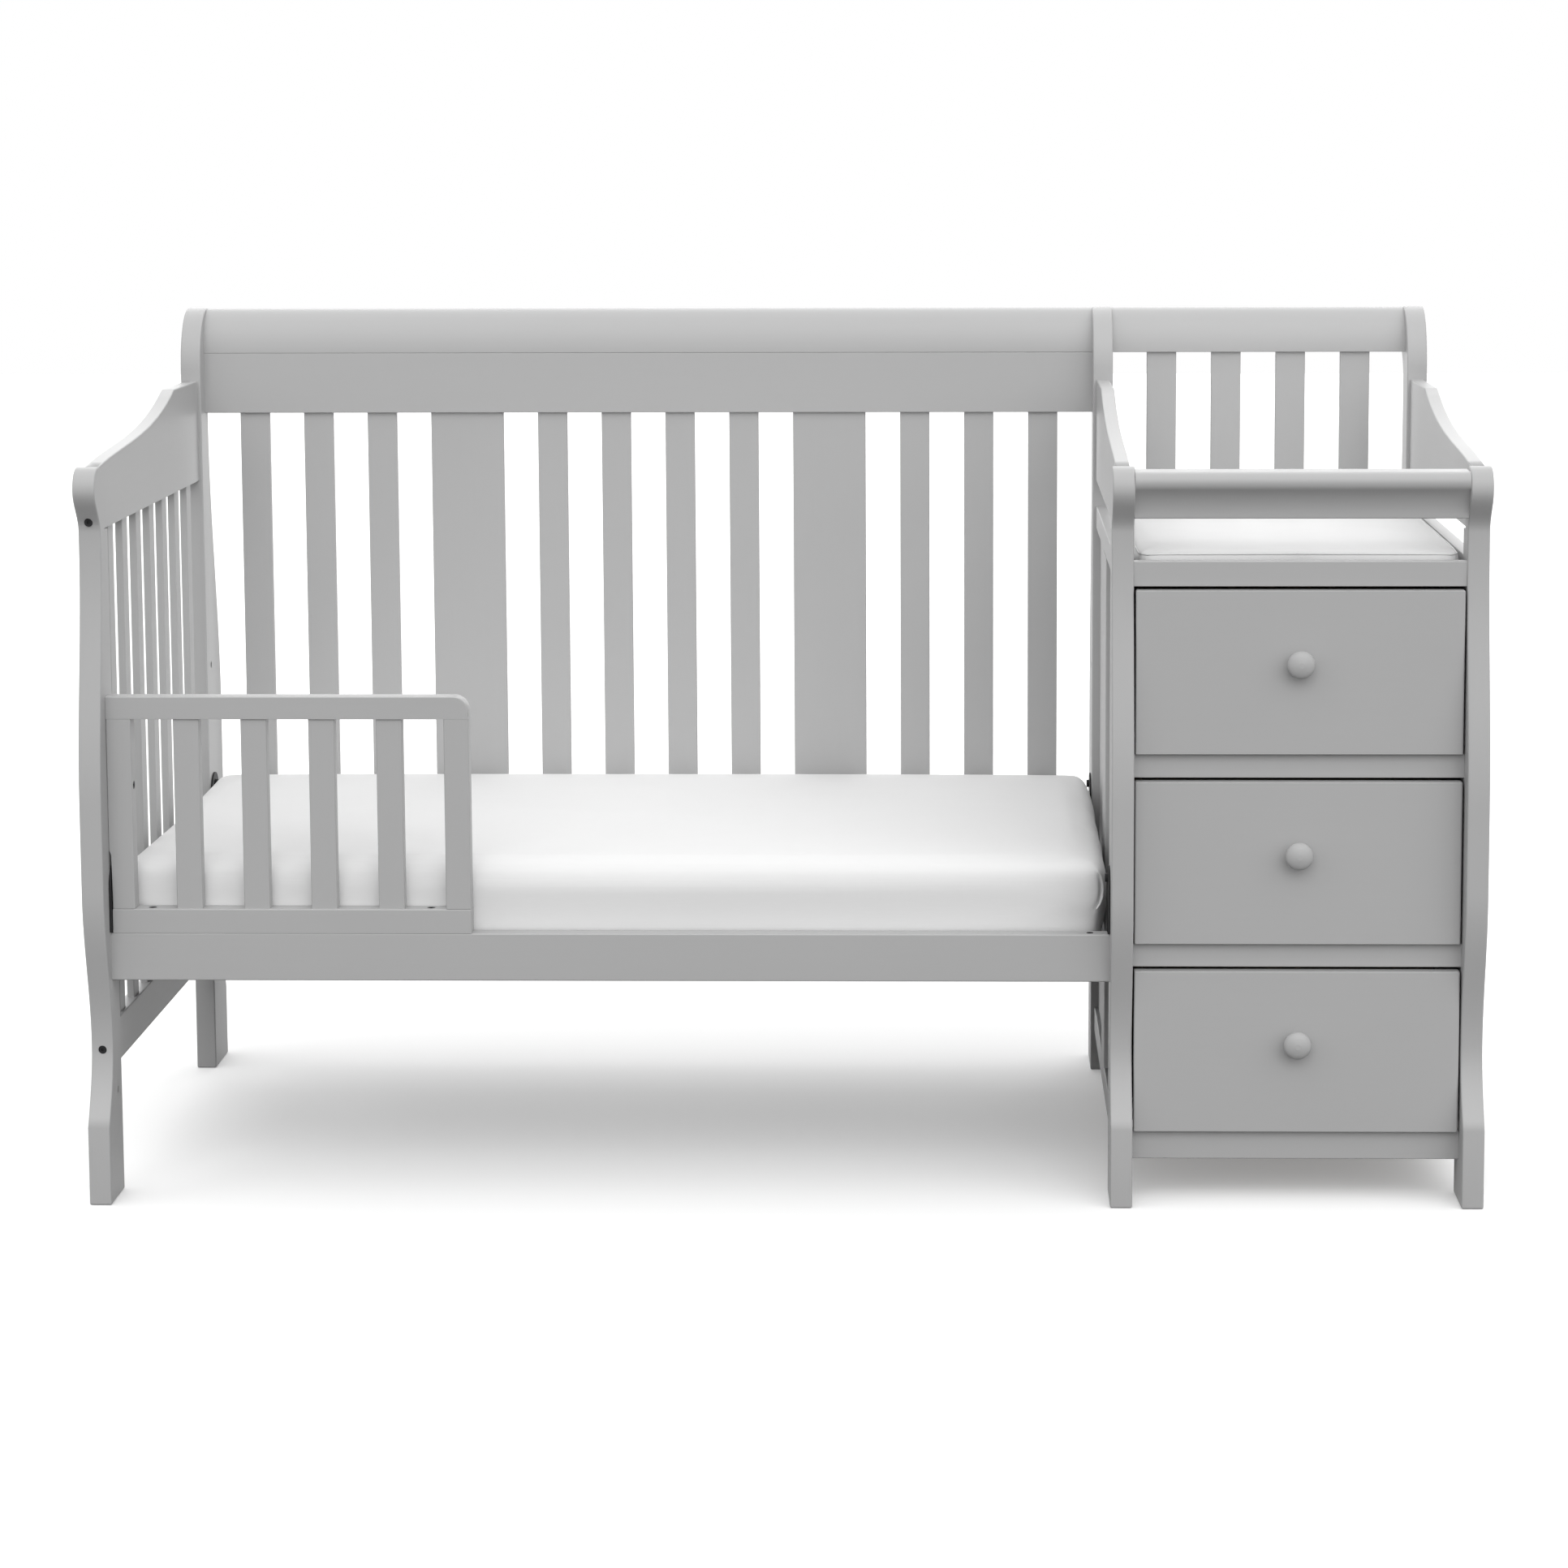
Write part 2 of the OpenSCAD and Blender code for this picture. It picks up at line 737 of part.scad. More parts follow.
module front_rail() {
    color(paint) in_place() difference() {
        bar([left_in, front_rail_in, front_rail_z], [middle_out, rail_back, front_rail_top]);
        rail_end_relief();
        crib_mirrored() rail_end_relief();
        rail_cuts();
        guard_bolt_places() bolt_room(guard_bolt_l, 1);
    }
}

guard_end = left_in + guard_l;
guard_slat_y = front_rail_in + (front_rail_t - guard_slat_t)/2;
guard_bolt_l = guard_base_h - bolt_head_h + 22;

module guard_bolt_places() {
    for (x = [left_in + stile_w + guard_bolt_in, guard_end - stile_w - guard_bolt_in])
        translate([x, (front_rail_in + rail_back)/2, guard_base_top - sink]) children();
}

// Room beside the guard for the hanger plate and its bolt's head, with a rounded upper end
module relief() {
    top = front_rail_top + guard_relief_h;
    r = guard_relief*4;
    along_y(front_rail_in - 1, front_rail_t + 2) {
        translate([left_in - 1, front_rail_top - 1]) square([guard_relief + 1, top - r - front_rail_top + 1]);
        intersection() {
            translate([left_in + guard_relief - r, top - r]) circle(r);
            translate([left_in - 1, top - r - 1]) square([guard_relief + 1, r + 1]);
        }
    }
    rod([left_in - 1, hanger_front_y, hanger_bolt_z], [0, 90, 0], bolt_head_d + 2,
        hanger_t + bolt_head_h + 2);
}

module guard_top_rail() {
    r = guard_corner_r;
    color(paint) in_place() along_y(front_rail_in, front_rail_t) {
        translate([left_in, slats_top]) square([guard_l - r, guard_top_h]);
        translate([left_in, slats_top]) square([guard_l, guard_top_h - r]);
        intersection() {
            translate([guard_end - r, guard_top - r]) circle(r);
            translate([guard_end - r - 1, guard_top - r - 1]) square(r + 2);
        }
    }
}

module guard_bottom_rail() {
    color(paint) in_place() difference() {
        bar([left_in, front_rail_in, front_rail_top], [guard_end, rail_back, guard_base_top]);
        guard_bolt_places() bolt_room(guard_bolt_l, 5);
        relief();
    }
}

module guard_stiles() {
    color(paint) in_place() {
        difference() {
            bar([left_in, front_rail_in, guard_base_top], [left_in + stile_w, rail_back, slats_top]);
            guard_stile_bolt_place() bolt_room(guard_stile_bolt_l, 5);
            relief();
        }
        bar([guard_end - stile_w, front_rail_in, guard_base_top], [guard_end, rail_back, slats_top]);
    }
}

module guard_slats() {
    w = guard_slat_w;
    color(paint) in_place()
        slats([w, w, w, w], left_in + stile_w, guard_end - stile_w,
            guard_slat_y, guard_slat_t, guard_base_top, slats_top);
}

// ---- Mattress and its support ----

support_x = [left_in + hanger_t + seat, middle_out - hanger_t - seat];
support_y = [rail_back + 2, hanger_rear_y - ear_w/3];

// Bolts that hang the support's ends on the hanger plates
module support_bolt_places() {
    hanger_places(support_bolt_z, hanger_t + seat + support_t + bolt_head_h,
        post_back - support_bolt_in) children();
}

support_bolt_l = hanger_t + seat + support_t;

// Angle frame, legs down, with flat straps level with its top
module mattress_support() {
    x = support_x;
    y = support_y;
    t = support_t;
    lo = support_top - support_h;
    step = (x[1] - x[0] - strap_w)/(strap_count + 1);
    bay = (y[1] - y[0] - strap_w)/4;
    color(steel) in_place() difference() {
        union() {
            difference() {
                bar([x[0], y[0], lo], [x[1], y[1], support_top]);
                bar([x[0] + t, y[0] + t, lo - 1], [x[1] - t, y[1] - t, support_top - t]);
                bar([x[0] + strap_w, y[0] + strap_w, lo], [x[1] - strap_w, y[1] - strap_w, support_top + 1]);
            }
            for (i = [1:strap_count])
                bar([x[0] + i*step, y[0] + t, support_top - t],
                    [x[0] + i*step + strap_w, y[1] - t, support_top]);
            for (i = [1:3])
                bar([x[0] + t, y[0] + i*bay, support_top - t],
                    [x[1] - t, y[0] + i*bay + strap_w, support_top]);
            // Ears that carry the frame's ends back to the rear hangers
            for (ear_x = [x[0], x[1] - t])
                bar([ear_x, hanger_rear_y - ear_w/2, lo], [ear_x + t, hanger_rear_y + ear_w/2, support_top]);
        }
        support_bolt_places() bolt_room(support_bolt_l, 1);
    }
}

// Hanger plates: a round-topped plate, narrower where it passes behind the front rail's lip
module hanger_outline() {
    low_h = front_rail_top + 2 - hanger_z;
    step = front_rail_in + rail_lip + 0.5 - (hanger_front_y - hanger_w/2);
    for (y = [hanger_front_y, hanger_rear_y]) {
        translate([y - hanger_w/2 + step, hanger_z]) square([hanger_w - step, low_h + 1]);
        translate([y - hanger_w/2, hanger_z + low_h]) square([hanger_w, hanger_h - hanger_w/2 - low_h]);
        translate([y, hanger_top - hanger_w/2]) circle(d = hanger_w);
    }
}

module support_hangers() {
    color(steel) in_place() difference() {
        union() {
            along_x(left_in, hanger_t) hanger_outline();
            along_x(middle_out - hanger_t, hanger_t) hanger_outline();
        }
        hanger_places(hanger_bolt_z, hanger_t + bolt_head_h) bolt_room(hanger_bolt_l, 1);
        support_bolt_places() bolt_room(support_bolt_l, 1);
        rail_bolt_places() bolt_room(rail_bolt_l, 1);
    }
}

// One level outline of a padded block: round corners and sides that draw in between them
function pad_ring(lo, hi, r, inset, dip, z) =
    let (c = max(r - inset, 8), arc_n = 5, side_n = 6,
         mid = (lo + hi)/2, hx = (hi.x - lo.x)/2 - inset - c, hy = (hi.y - lo.y)/2 - inset - c,
         centres = [[hx, hy], [-hx, hy], [-hx, -hy], [hx, -hy]],
         arcs = [for (k = [0:3]) [for (j = [0:arc_n])
             centres[k] + c*[cos(90*(k + j/arc_n)), sin(90*(k + j/arc_n))]]])
    [for (k = [0:3]) each concat(
        [for (p = arcs[k]) [mid.x + p.x, mid.y + p.y, z]],
        [for (j = [1:side_n - 1])
            let (a = arcs[k][arc_n], b = arcs[(k + 1) % 4][0], u = j/side_n,
                 inward = -[cos(90*(k + 1)), sin(90*(k + 1))]*dip*sin(180*u),
                 p = a + (b - a)*u + inward)
            [mid.x + p.x, mid.y + p.y, z]])];

// Padded block: round edges, drawn-in sides and a crowned top
module padded_block(lo, hi, r, edge, crown, dip) {
    edge_steps = 4;
    crown_steps = 5;
    reach = min(hi.x - lo.x, hi.y - lo.y)/2 - edge;
    rings = concat(
        [for (i = [0:edge_steps]) let (a = 90*(1 - i/edge_steps))
            pad_ring(lo, hi, r, edge*(1 - cos(a)), dip*cos(a), lo.z + edge*(1 - sin(a)))],
        [for (i = [0:edge_steps]) let (a = 90*i/edge_steps)
            pad_ring(lo, hi, r, edge*(1 - cos(a)), dip*cos(a), hi.z - edge*(1 - sin(a)))],
        [for (i = [1:crown_steps]) let (u = 0.9*i/crown_steps)
            pad_ring(lo, hi, r, edge + reach*u, 0, hi.z + crown*sin(90*u))]);
    n = len(rings[0]);
    m = len(rings);
    mid = (lo + hi)/2;
    polyhedron(
        points = concat([for (ring = rings) each ring],
            [[mid.x, mid.y, lo.z], [mid.x, mid.y, hi.z + crown]]),
        faces = concat(
            [for (i = [0:n - 1]) [i, (i + 1) % n, m*n]],
            [for (k = [0:m - 2], i = [0:n - 1]) each
                [[k*n + i, (k + 1)*n + i, (k + 1)*n + (i + 1) % n],
                 [k*n + i, (k + 1)*n + (i + 1) % n, k*n + (i + 1) % n]]],
            [for (i = [0:n - 1]) [(m - 1)*n + (i + 1) % n, (m - 1)*n + i, m*n + 1]]));
}

module mattress() {
    color(white) in_place()
        padded_block(mattress_lo, mattress_hi, mattress_corner_r, mattress_edge_r, mattress_crown, 4);
}

// ---- Changer ----

// Rolled rail: a round upper edge over a hollow that runs down to the lower edge
module rolled_rail() {
    r = roll_rail_r;
    z = front_h - roll_rail_drop;
    top = front_h - roll_rail_low;
    back = scroll_back - roll_rail_in;
    mid = [scroll_in + roll_rail_in + r, top - r];
    hollow_r = (mid.y - z)/sin(45) - r;
    hollow = mid - (r + hollow_r)*[cos(45), sin(45)];
    color(paint) in_place() along_x(middle_in, changer_w)
        polygon(concat(
            [for (a = [0:3.75:45]) hollow + hollow_r*[cos(a), sin(a)]],
            [for (a = [216:-9:90]) mid + r*[cos(a), sin(a)]],
            [[back, top], [back, z]]));
}

module cross_rail(z, h) {
    bar([middle_in, divider_in, z], [right_in, divider_in + divider_t, z + h]);
}

module tray_front_rail() {
    color(paint) in_place() cross_rail(tray_z, tray_rail_h);
}

// Deck that reaches the side rails, with notched corners round the posts
module tray_deck() {
    side_in = side_x + side_rail_t;
    color(paint) in_place() {
        bar([middle_in, divider_in + divider_t, deck_top - deck_t], [right_in, back_face, deck_top]);
        bar([side_in, post_back, deck_top - deck_t], [2*changer_mid - side_in, rear_front, deck_top]);
    }
}

module changing_pad() {
    color(white) in_place() padded_block(pad_lo, pad_hi, pad_corner_r, pad_h*0.3, pad_crown, 2);
}

module drawer_dividers() {
    color(paint) in_place() for (i = [1:drawer_count - 1])
        cross_rail(drawer_z0 - drawer_low_gap + i*drawer_pitch - divider_h, divider_h);
}

module base_rail() {
    color(paint) in_place() cross_rail(base_rail_z, base_rail_h);
}

// ---- Runners ----

function drawer_z(i) = drawer_z0 + i*drawer_pitch;
function box_z(i) = drawer_z(i) + box_rise;
function channel_z(i) = box_z(i) - runner_drop;

// Channel that opens towards the drawer, with a roller near its front
module channel() {
    w = runner_flange;
    t = runner_t;
    along_y(runner_front, runner_back - runner_front) {
        square([t, runner_h]);
        square([w, t]);
        translate([0, runner_h - t]) square([w, t]);
    }
    y = runner_front + 12;
    z = t + roller_d/2 + seat;
    rod([t - 0.5, y, z], [0, 90, 0], pin_d, 2);
    rod([t + 1, y, z], [0, 90, 0], roller_d, w - t - 1.6);
}

module cabinet_runners() {
    color(zinc) in_place() for (i = [0:drawer_count - 1]) both_sides()
        translate([middle_in, 0, channel_z(i)]) channel();
}

// Drawer's strip: a web on the box side, a flange on the front roller, and a roller behind
module drawer_strip() {
    t = runner_t;
    w = runner_flange;
    flange_z = t + roller_d + 2*seat;
    back_d = runner_h - 2*t - 2*seat;
    y = box_back - back_d/2 - 2;
    web_x = runner_w - t;
    along_y(box_front + 2, box_back - box_front - 4)
        translate([web_x, flange_z]) square([t, runner_h - flange_z + strip_up]);
    along_y(y - back_d/2, back_d) translate([web_x, runner_h/4]) square([t, runner_h/2]);
    along_y(box_front + 2, box_back - box_front - back_d - 8)
        translate([t + 1.2, flange_z]) square([web_x - t, t]);
    rod([t + 1.6, y, runner_h/2], [0, 90, 0], back_d, w - t - 2.4);
    rod([t + 2, y, runner_h/2], [0, 90, 0], pin_d, web_x - t - 1.6);
}

module drawer_runners(i) {
    color(zinc) in_place() both_sides()
        translate([middle_in, 0, channel_z(i)]) drawer_strip();
}

// ---- Drawers ----

module drawer_front(i) {
    z = drawer_z(i);
    color(paint) in_place() difference() {
        bar([middle_in + drawer_side_gap, drawer_in, z],
            [right_in - drawer_side_gap, box_front, z + drawer_h]);
        rod([changer_mid, drawer_in - 1, knob_z(i)], [-90, 0, 0], screw_d + 2*fit, drawer_front_t + 2);
    }
}

module drawer_walls(i) {
    z = box_z(i);
    groove_z = z + groove_rise;
    inner_back = box_back - box_t;
    color(bare_wood) in_place() {
        both_sides() difference() {
            bar([box_left, box_front, z], [box_left + box_t, box_back, z + box_h]);
            bar([box_left + box_t - groove_d, box_front - 1, groove_z],
                [box_left + box_t + 1, box_back + 1, groove_z + bottom_t + seat]);
        }
        bar([box_left + box_t + fit, inner_back, groove_z + bottom_t + seat],
            [box_right - box_t - fit, box_back, z + box_h]);
    }
}

module drawer_bottom(i) {
    z = box_z(i) + groove_rise;
    x = box_left + box_t - groove_d + seat;
    color(bare_wood) in_place()
        bar([x, box_front, z], [2*changer_mid - x, box_back, z + bottom_t]);
}

function knob_z(i) = drawer_z(i) + drawer_h/2 + knob_up;

// Turned knob: a foot, a narrow neck and a flattened round head, drilled from behind
module drawer_knob(i) {
    r = knob_d/2;
    head_rz = knob_l*0.34;
    head_z = knob_l - head_rz;
    foot_r = r*0.56;
    neck_r = r*0.42;
    color(paint) in_place() translate([changer_mid, drawer_in, knob_z(i)]) rotate([90, 0, 0])
        rotate_extrude($fn = 64) difference() {
            polygon(concat(
                [[0, 0], [foot_r, 0], [foot_r, 1.5]],
                [for (t = [0.2:0.2:0.8])
                    [neck_r + (foot_r - neck_r)*pow(1 - t, 2), 1.5 + (head_z - head_rz*0.8 - 1.5)*t]],
                [for (a = [-65:13:65]) [r*cos(a), head_z + head_rz*sin(a)]],
                [[r*0.2, knob_l], [0, knob_l]]));
            translate([-1, -1]) square([screw_d/2 + fit + 1, screw_in + 2]);
        }
}

module drawer_screw(i) {
    color(zinc) in_place() translate([changer_mid, box_front, knob_z(i)]) rotate([90, 0, 0]) {
        translate([0, 0, -screw_head_h]) cylinder(d = screw_head_d, h = screw_head_h);
        translate([0, 0, -0.1]) cylinder(d = screw_d, h = drawer_front_t + screw_in + 0.1);
    }
}

// ---- Fasteners ----

module end_bolts() {
    color(steel) in_place() end_bolt_places() socket_bolt(end_bolt_l);
}

module rail_bolts() {
    color(steel) in_place() {
        rail_bolt_places() socket_bolt(rail_bolt_l);
        guard_bolt_places() socket_bolt(guard_bolt_l);
        guard_stile_bolt_place() socket_bolt(guard_stile_bolt_l);
    }
}

module barrel_nuts() {
    color(steel) in_place() difference() {
        barrel_places() cylinder(d = barrel_d, h = barrel_l);
        rail_bolt_places() bolt_room(rail_bolt_l, 1);
    }
}

module hanger_bolts() {
    color(steel) in_place() {
        hanger_places(hanger_bolt_z, hanger_t + bolt_head_h) socket_bolt(hanger_bolt_l);
        support_bolt_places() socket_bolt(support_bolt_l);
    }
}

// ---- What is drawn ----

front_post(0);  // left_front_post
front_post(middle_out);  // middle_front_post
front_post(right_in);  // right_front_post
rear_post(0);  // left_rear_post
rear_post(middle_out);  // middle_rear_post
rear_post(right_in);  // right_rear_post
arm(0);  // left_arm
arm(middle_out);  // middle_arm
arm(right_in);  // right_arm
end_bottom_rail();
end_slats();
side_upper_rails();
side_lower_rails();
side_muntins();
side_panels();
crib_cap_rail();
crib_top_rail();
crib_bottom_rail();
crib_slats();
changer_cap_rail();
changer_slats();
changer_back_rails();
changer_back_panel();
front_rail();
guard_top_rail();
guard_bottom_rail();
guard_stiles();
guard_slats();
mattress_support();
support_hangers();
mattress();
rolled_rail();
tray_front_rail();
tray_deck();
changing_pad();
drawer_dividers();
base_rail();
cabinet_runners();
end_bolts();
rail_bolts();
barrel_nuts();
hanger_bolts();
drawer_front(0);  // bottom_drawer_front
drawer_walls(0);  // bottom_drawer_walls
drawer_bottom(0);  // bottom_drawer_bottom
drawer_knob(0);  // bottom_drawer_knob
drawer_screw(0);  // bottom_drawer_screw
drawer_runners(0);  // bottom_drawer_runners
drawer_front(1);  // middle_drawer_front
drawer_walls(1);  // middle_drawer_walls
drawer_bottom(1);  // middle_drawer_bottom
drawer_knob(1);  // middle_drawer_knob
drawer_screw(1);  // middle_drawer_screw
drawer_runners(1);  // middle_drawer_runners
drawer_front(2);  // top_drawer_front
drawer_walls(2);  // top_drawer_walls
drawer_bottom(2);  // top_drawer_bottom
drawer_knob(2);  // top_drawer_knob
drawer_screw(2);  // top_drawer_screw
drawer_runners(2);  // top_drawer_runners
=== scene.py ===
"""Crib with attached changer: paint, cloth, steel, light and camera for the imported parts."""

import json
import logging
import math
from collections.abc import Callable
from dataclasses import dataclass, field
from enum import Enum

import bmesh
import bpy
import numpy as np
from mathutils import Matrix, Vector

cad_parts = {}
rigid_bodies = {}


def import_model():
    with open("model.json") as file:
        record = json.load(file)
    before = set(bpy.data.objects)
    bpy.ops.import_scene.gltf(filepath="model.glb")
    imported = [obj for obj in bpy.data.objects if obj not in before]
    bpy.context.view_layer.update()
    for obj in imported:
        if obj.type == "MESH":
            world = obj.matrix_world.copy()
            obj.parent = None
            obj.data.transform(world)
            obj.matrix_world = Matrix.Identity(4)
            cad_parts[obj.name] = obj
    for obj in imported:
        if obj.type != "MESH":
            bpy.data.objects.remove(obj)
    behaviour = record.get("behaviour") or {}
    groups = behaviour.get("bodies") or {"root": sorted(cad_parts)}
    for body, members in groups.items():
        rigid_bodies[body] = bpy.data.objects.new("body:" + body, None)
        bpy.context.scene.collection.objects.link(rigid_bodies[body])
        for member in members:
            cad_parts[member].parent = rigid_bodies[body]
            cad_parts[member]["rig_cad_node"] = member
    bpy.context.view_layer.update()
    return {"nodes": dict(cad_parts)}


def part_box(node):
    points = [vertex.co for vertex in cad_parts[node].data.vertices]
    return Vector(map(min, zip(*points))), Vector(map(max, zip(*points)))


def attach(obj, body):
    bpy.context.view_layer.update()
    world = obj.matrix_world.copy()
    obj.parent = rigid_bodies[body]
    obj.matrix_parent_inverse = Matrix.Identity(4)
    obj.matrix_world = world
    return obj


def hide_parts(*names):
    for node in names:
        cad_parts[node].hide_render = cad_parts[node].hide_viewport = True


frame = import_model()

LOG = logging.getLogger("crib_with_changer")

Colour = tuple[float, float, float]
Point = tuple[float, float, float]
Shape = bpy.types.Object
Socket = bpy.types.NodeSocket
Work = bmesh.types.BMesh
Edges = list[bmesh.types.BMEdge]
Stops = tuple[tuple[float, Colour], ...]

ARM_UNDERSIDE = 0.8895  # where the arms rest on the front posts, in metres
WHITE = (1.0, 1.0, 1.0, 1.0)


class Axis(Enum):
    """The direction a piece of wood runs in."""

    X = 0
    Y = 1
    Z = 2

    @property
    def unit(self) -> Vector:
        """The axis as a unit vector."""
        return Vector([1.0 if i == self.value else 0.0 for i in range(3)])


Planes = tuple[tuple[Axis, float], ...]


class Rounding(Enum):
    """Which of a wooden piece's edges the router went along."""

    LONG_EDGES = "the edges that run with the grain"
    OUTLINE = "every outer edge, apart from holes and joints"


class Body(Enum):
    """The bodies that pieces ride on."""

    FRAME = "frame"
    BOTTOM = "bottom_drawer"
    MIDDLE = "middle_drawer"
    TOP = "top_drawer"


# ---- Finishes ----


class Recipe:
    """The node tree of a material or world, written one node at a time."""

    def __init__(self, name: str, kind: str = "Material") -> None:
        """Starts an empty tree.

        Args:
            name: the material's or world's name.
            kind: Material or World.
        """
        self.made = getattr(bpy.data, f"{kind.lower()}s").new(name)
        self.made.use_nodes = True
        self.tree = self.made.node_tree
        self.tree.nodes.clear()
        self.output = self.add(f"ShaderNodeOutput{kind}")

    def add(self, kind: str, values: dict[str | int, object] | None = None, **settings: object) -> bpy.types.Node:
        """Adds a node.

        Args:
            kind: Blender's name for the node type.
            values: what its sockets get, which is a number, a colour or another node's output.
            **settings: the node's own properties.

        Returns:
            The new node.
        """
        node = self.tree.nodes.new(kind)
        for key, value in settings.items():
            setattr(node, key, value)
        for key, value in (values or {}).items():
            if isinstance(value, Socket):
                self.tree.links.new(value, node.inputs[key])
            elif value is not None:
                node.inputs[key].default_value = value
        return node

    def finish(self, kind: str, values: dict[str, object]) -> bpy.types.Material | bpy.types.World:
        """Ends the tree with a shader node, and gives the finished material or world."""
        self.tree.links.new(self.add(kind, values).outputs[0], self.output.inputs["Surface"])
        return self.made

    def surface(
        self, tone: Socket, roughness: Socket, normal: Socket, values: dict[str, float]
    ) -> bpy.types.Material:
        """The finished material, with a colour, a roughness, a relief and other values."""
        joined = {"Base Color": tone, "Roughness": roughness, "Normal": normal}
        return self.finish("ShaderNodeBsdfPrincipled", values | joined)

    def places(self, scale: Point = (1.0, 1.0, 1.0)) -> Socket:
        """The place on the piece, stretched by scale."""
        place = self.add("ShaderNodeTexCoord").outputs["Object"]
        return self.add("ShaderNodeMapping", {"Vector": place, "Scale": scale}).outputs["Vector"]

    def noise(
        self, places: Socket, scale: float, detail: float = 2.0, roughness: float = 0.5, warp: float = 0.0
    ) -> Socket:
        """A noise with scale cells in a metre, finer layers of a strength roughness, bent by warp."""
        values = {"Vector": places, "Scale": scale, "Detail": detail, "Roughness": roughness, "Distortion": warp}
        return self.add("ShaderNodeTexNoise", values).outputs["Fac"]

    def bands(self, places: Socket, scale: float, axis: Axis, warp: float = 0.0) -> Socket:
        """Bands that follow each other along an axis, such as threads, and wander by warp."""
        values = {"Vector": places, "Scale": scale, "Distortion": warp, "Detail": 1.0}
        return self.add("ShaderNodeTexWave", values, wave_type="BANDS", bands_direction=axis.name).outputs["Fac"]

    def range(self, source: Socket, low: float, high: float) -> Socket:
        """A 0 to 1 value moved to low to high."""
        return self.add("ShaderNodeMapRange", {"Value": source, "To Min": low, "To Max": high}).outputs["Result"]

    def pair(self, operation: str, first: Socket, second: Socket) -> Socket:
        """Two values made one, such as by ADD or MAXIMUM."""
        return self.add("ShaderNodeMath", {0: first, 1: second}, operation=operation).outputs["Value"]

    def blend(self, first: Socket, second: Socket, share: float) -> Socket:
        """Two 0 to 1 values made one, of which the first is the given share."""
        return self.pair("ADD", self.range(first, 0.0, share), self.range(second, 0.0, 1 - share))

    def tones(self, source: Socket, stops: Stops) -> Socket:
        """Colours picked by a 0 to 1 value.

        Args:
            source: the value.
            stops: pairs of a value and its colour.

        Returns:
            The colour.
        """
        ramp = self.add("ShaderNodeValToRGB", {"Fac": source})
        while len(ramp.color_ramp.elements) < len(stops):
            ramp.color_ramp.elements.new(0.5)
        for element, (at, colour) in zip(ramp.color_ramp.elements, stops):
            element.position = at
            element.color = (*colour, 1.0)
        return ramp.outputs["Color"]

    def relief(self, height: Socket, depth: float, strength: float, under: Socket | None = None) -> Socket:
        """Relief of a depth in metres, which shows as far as its strength and lies on what is under it."""
        values = {"Height": height, "Distance": depth, "Strength": strength, "Normal": under}
        return self.add("ShaderNodeBump", values).outputs["Normal"]

    def seen(self) -> Socket:
        """Tells what the camera, a reflection or clear material sees from light that bounces.

        Returns:
            1 for what is seen, and 0 for light that bounces.
        """
        rays = self.add("ShaderNodeLightPath").outputs
        seen = self.pair("MAXIMUM", rays["Is Camera Ray"], rays["Is Glossy Ray"])
        return self.pair("MAXIMUM", seen, rays["Is Transmission Ray"])

def lighter(colour: Colour, by: float) -> Colour:
    """A colour times a number, which keeps its hue."""
    return tuple(min(1.0, channel * by) for channel in colour)


def between(colour: Colour, first: tuple[float, float], last: tuple[float, float]) -> Stops:
    """Two stops of one colour, each a value and how light the colour is there."""
    return tuple((at, lighter(colour, by)) for at, by in (first, last))


def stretched(grain: Axis, along: float, across: float) -> Point:
    """A noise scale that is drawn out along the grain."""
    return tuple(along if axis is grain else across for axis in Axis)

@dataclass(frozen=True)
class SatinPaint:
    """Light grey satin paint, sprayed over sanded wood whose grain barely shows."""

    grain: Axis
    colour: Colour = (0.402, 0.402, 0.403)
    slot: str = "painted_wood"
    mottle: float = 0.012
    roughness: tuple[float, float] = (0.40, 0.50)

    def material(self) -> bpy.types.Material:
        """The paint with its spray texture and the grain's ghost along the piece.

        Returns:
            The material.
        """
        recipe = Recipe(f"satin_paint_{self.grain.name.lower()}")
        grain = recipe.noise(recipe.places(stretched(self.grain, 9.0, 190.0)), 1.0, 4.0, 0.6, 0.3)
        spray = recipe.noise(recipe.places(), 780.0, 2.0, 0.55)
        cloud = recipe.noise(recipe.places(), 5.0, 3.0, 0.55)
        greys = between(self.colour, (0.30, 1 - self.mottle), (0.70, 1 + self.mottle))
        relief = recipe.relief(spray, 0.00004, 0.35, recipe.relief(grain, 0.00003, 0.3))
        return recipe.surface(
            recipe.tones(recipe.blend(cloud, grain, 0.7), greys), recipe.range(cloud, *self.roughness), relief,
            {"Metallic": 0.0, "IOR": 1.46},
        )


@dataclass(frozen=True)
class BoxWood:
    """Bare pale wood of the drawer boxes under a thin matt lacquer."""

    grain: Axis
    early: Colour = (0.66, 0.50, 0.33)
    late: Colour = (0.50, 0.345, 0.20)
    slot: str = "box_wood"

    def material(self) -> bpy.types.Material:
        """The wood with grain lines along the board, fine pores and a dull lacquer.

        Returns:
            The material.
        """
        recipe = Recipe(f"box_wood_{self.grain.name.lower()}")
        rings = recipe.noise(recipe.places(stretched(self.grain, 1.6, 26.0)), 1.0, 5.0, 0.62, 1.4)
        pores = recipe.noise(recipe.places(stretched(self.grain, 24.0, 620.0)), 1.0, 2.0)
        browns = ((0.28, self.late), (0.47, self.early), (0.60, lighter(self.early, 1.08)), (0.76, self.late))
        return recipe.surface(
            recipe.tones(recipe.blend(rings, pores, 0.85), browns), recipe.range(pores, 0.46, 0.60),
            recipe.relief(pores, 0.0001, 0.5), {"Metallic": 0.0, "IOR": 1.48},
        )


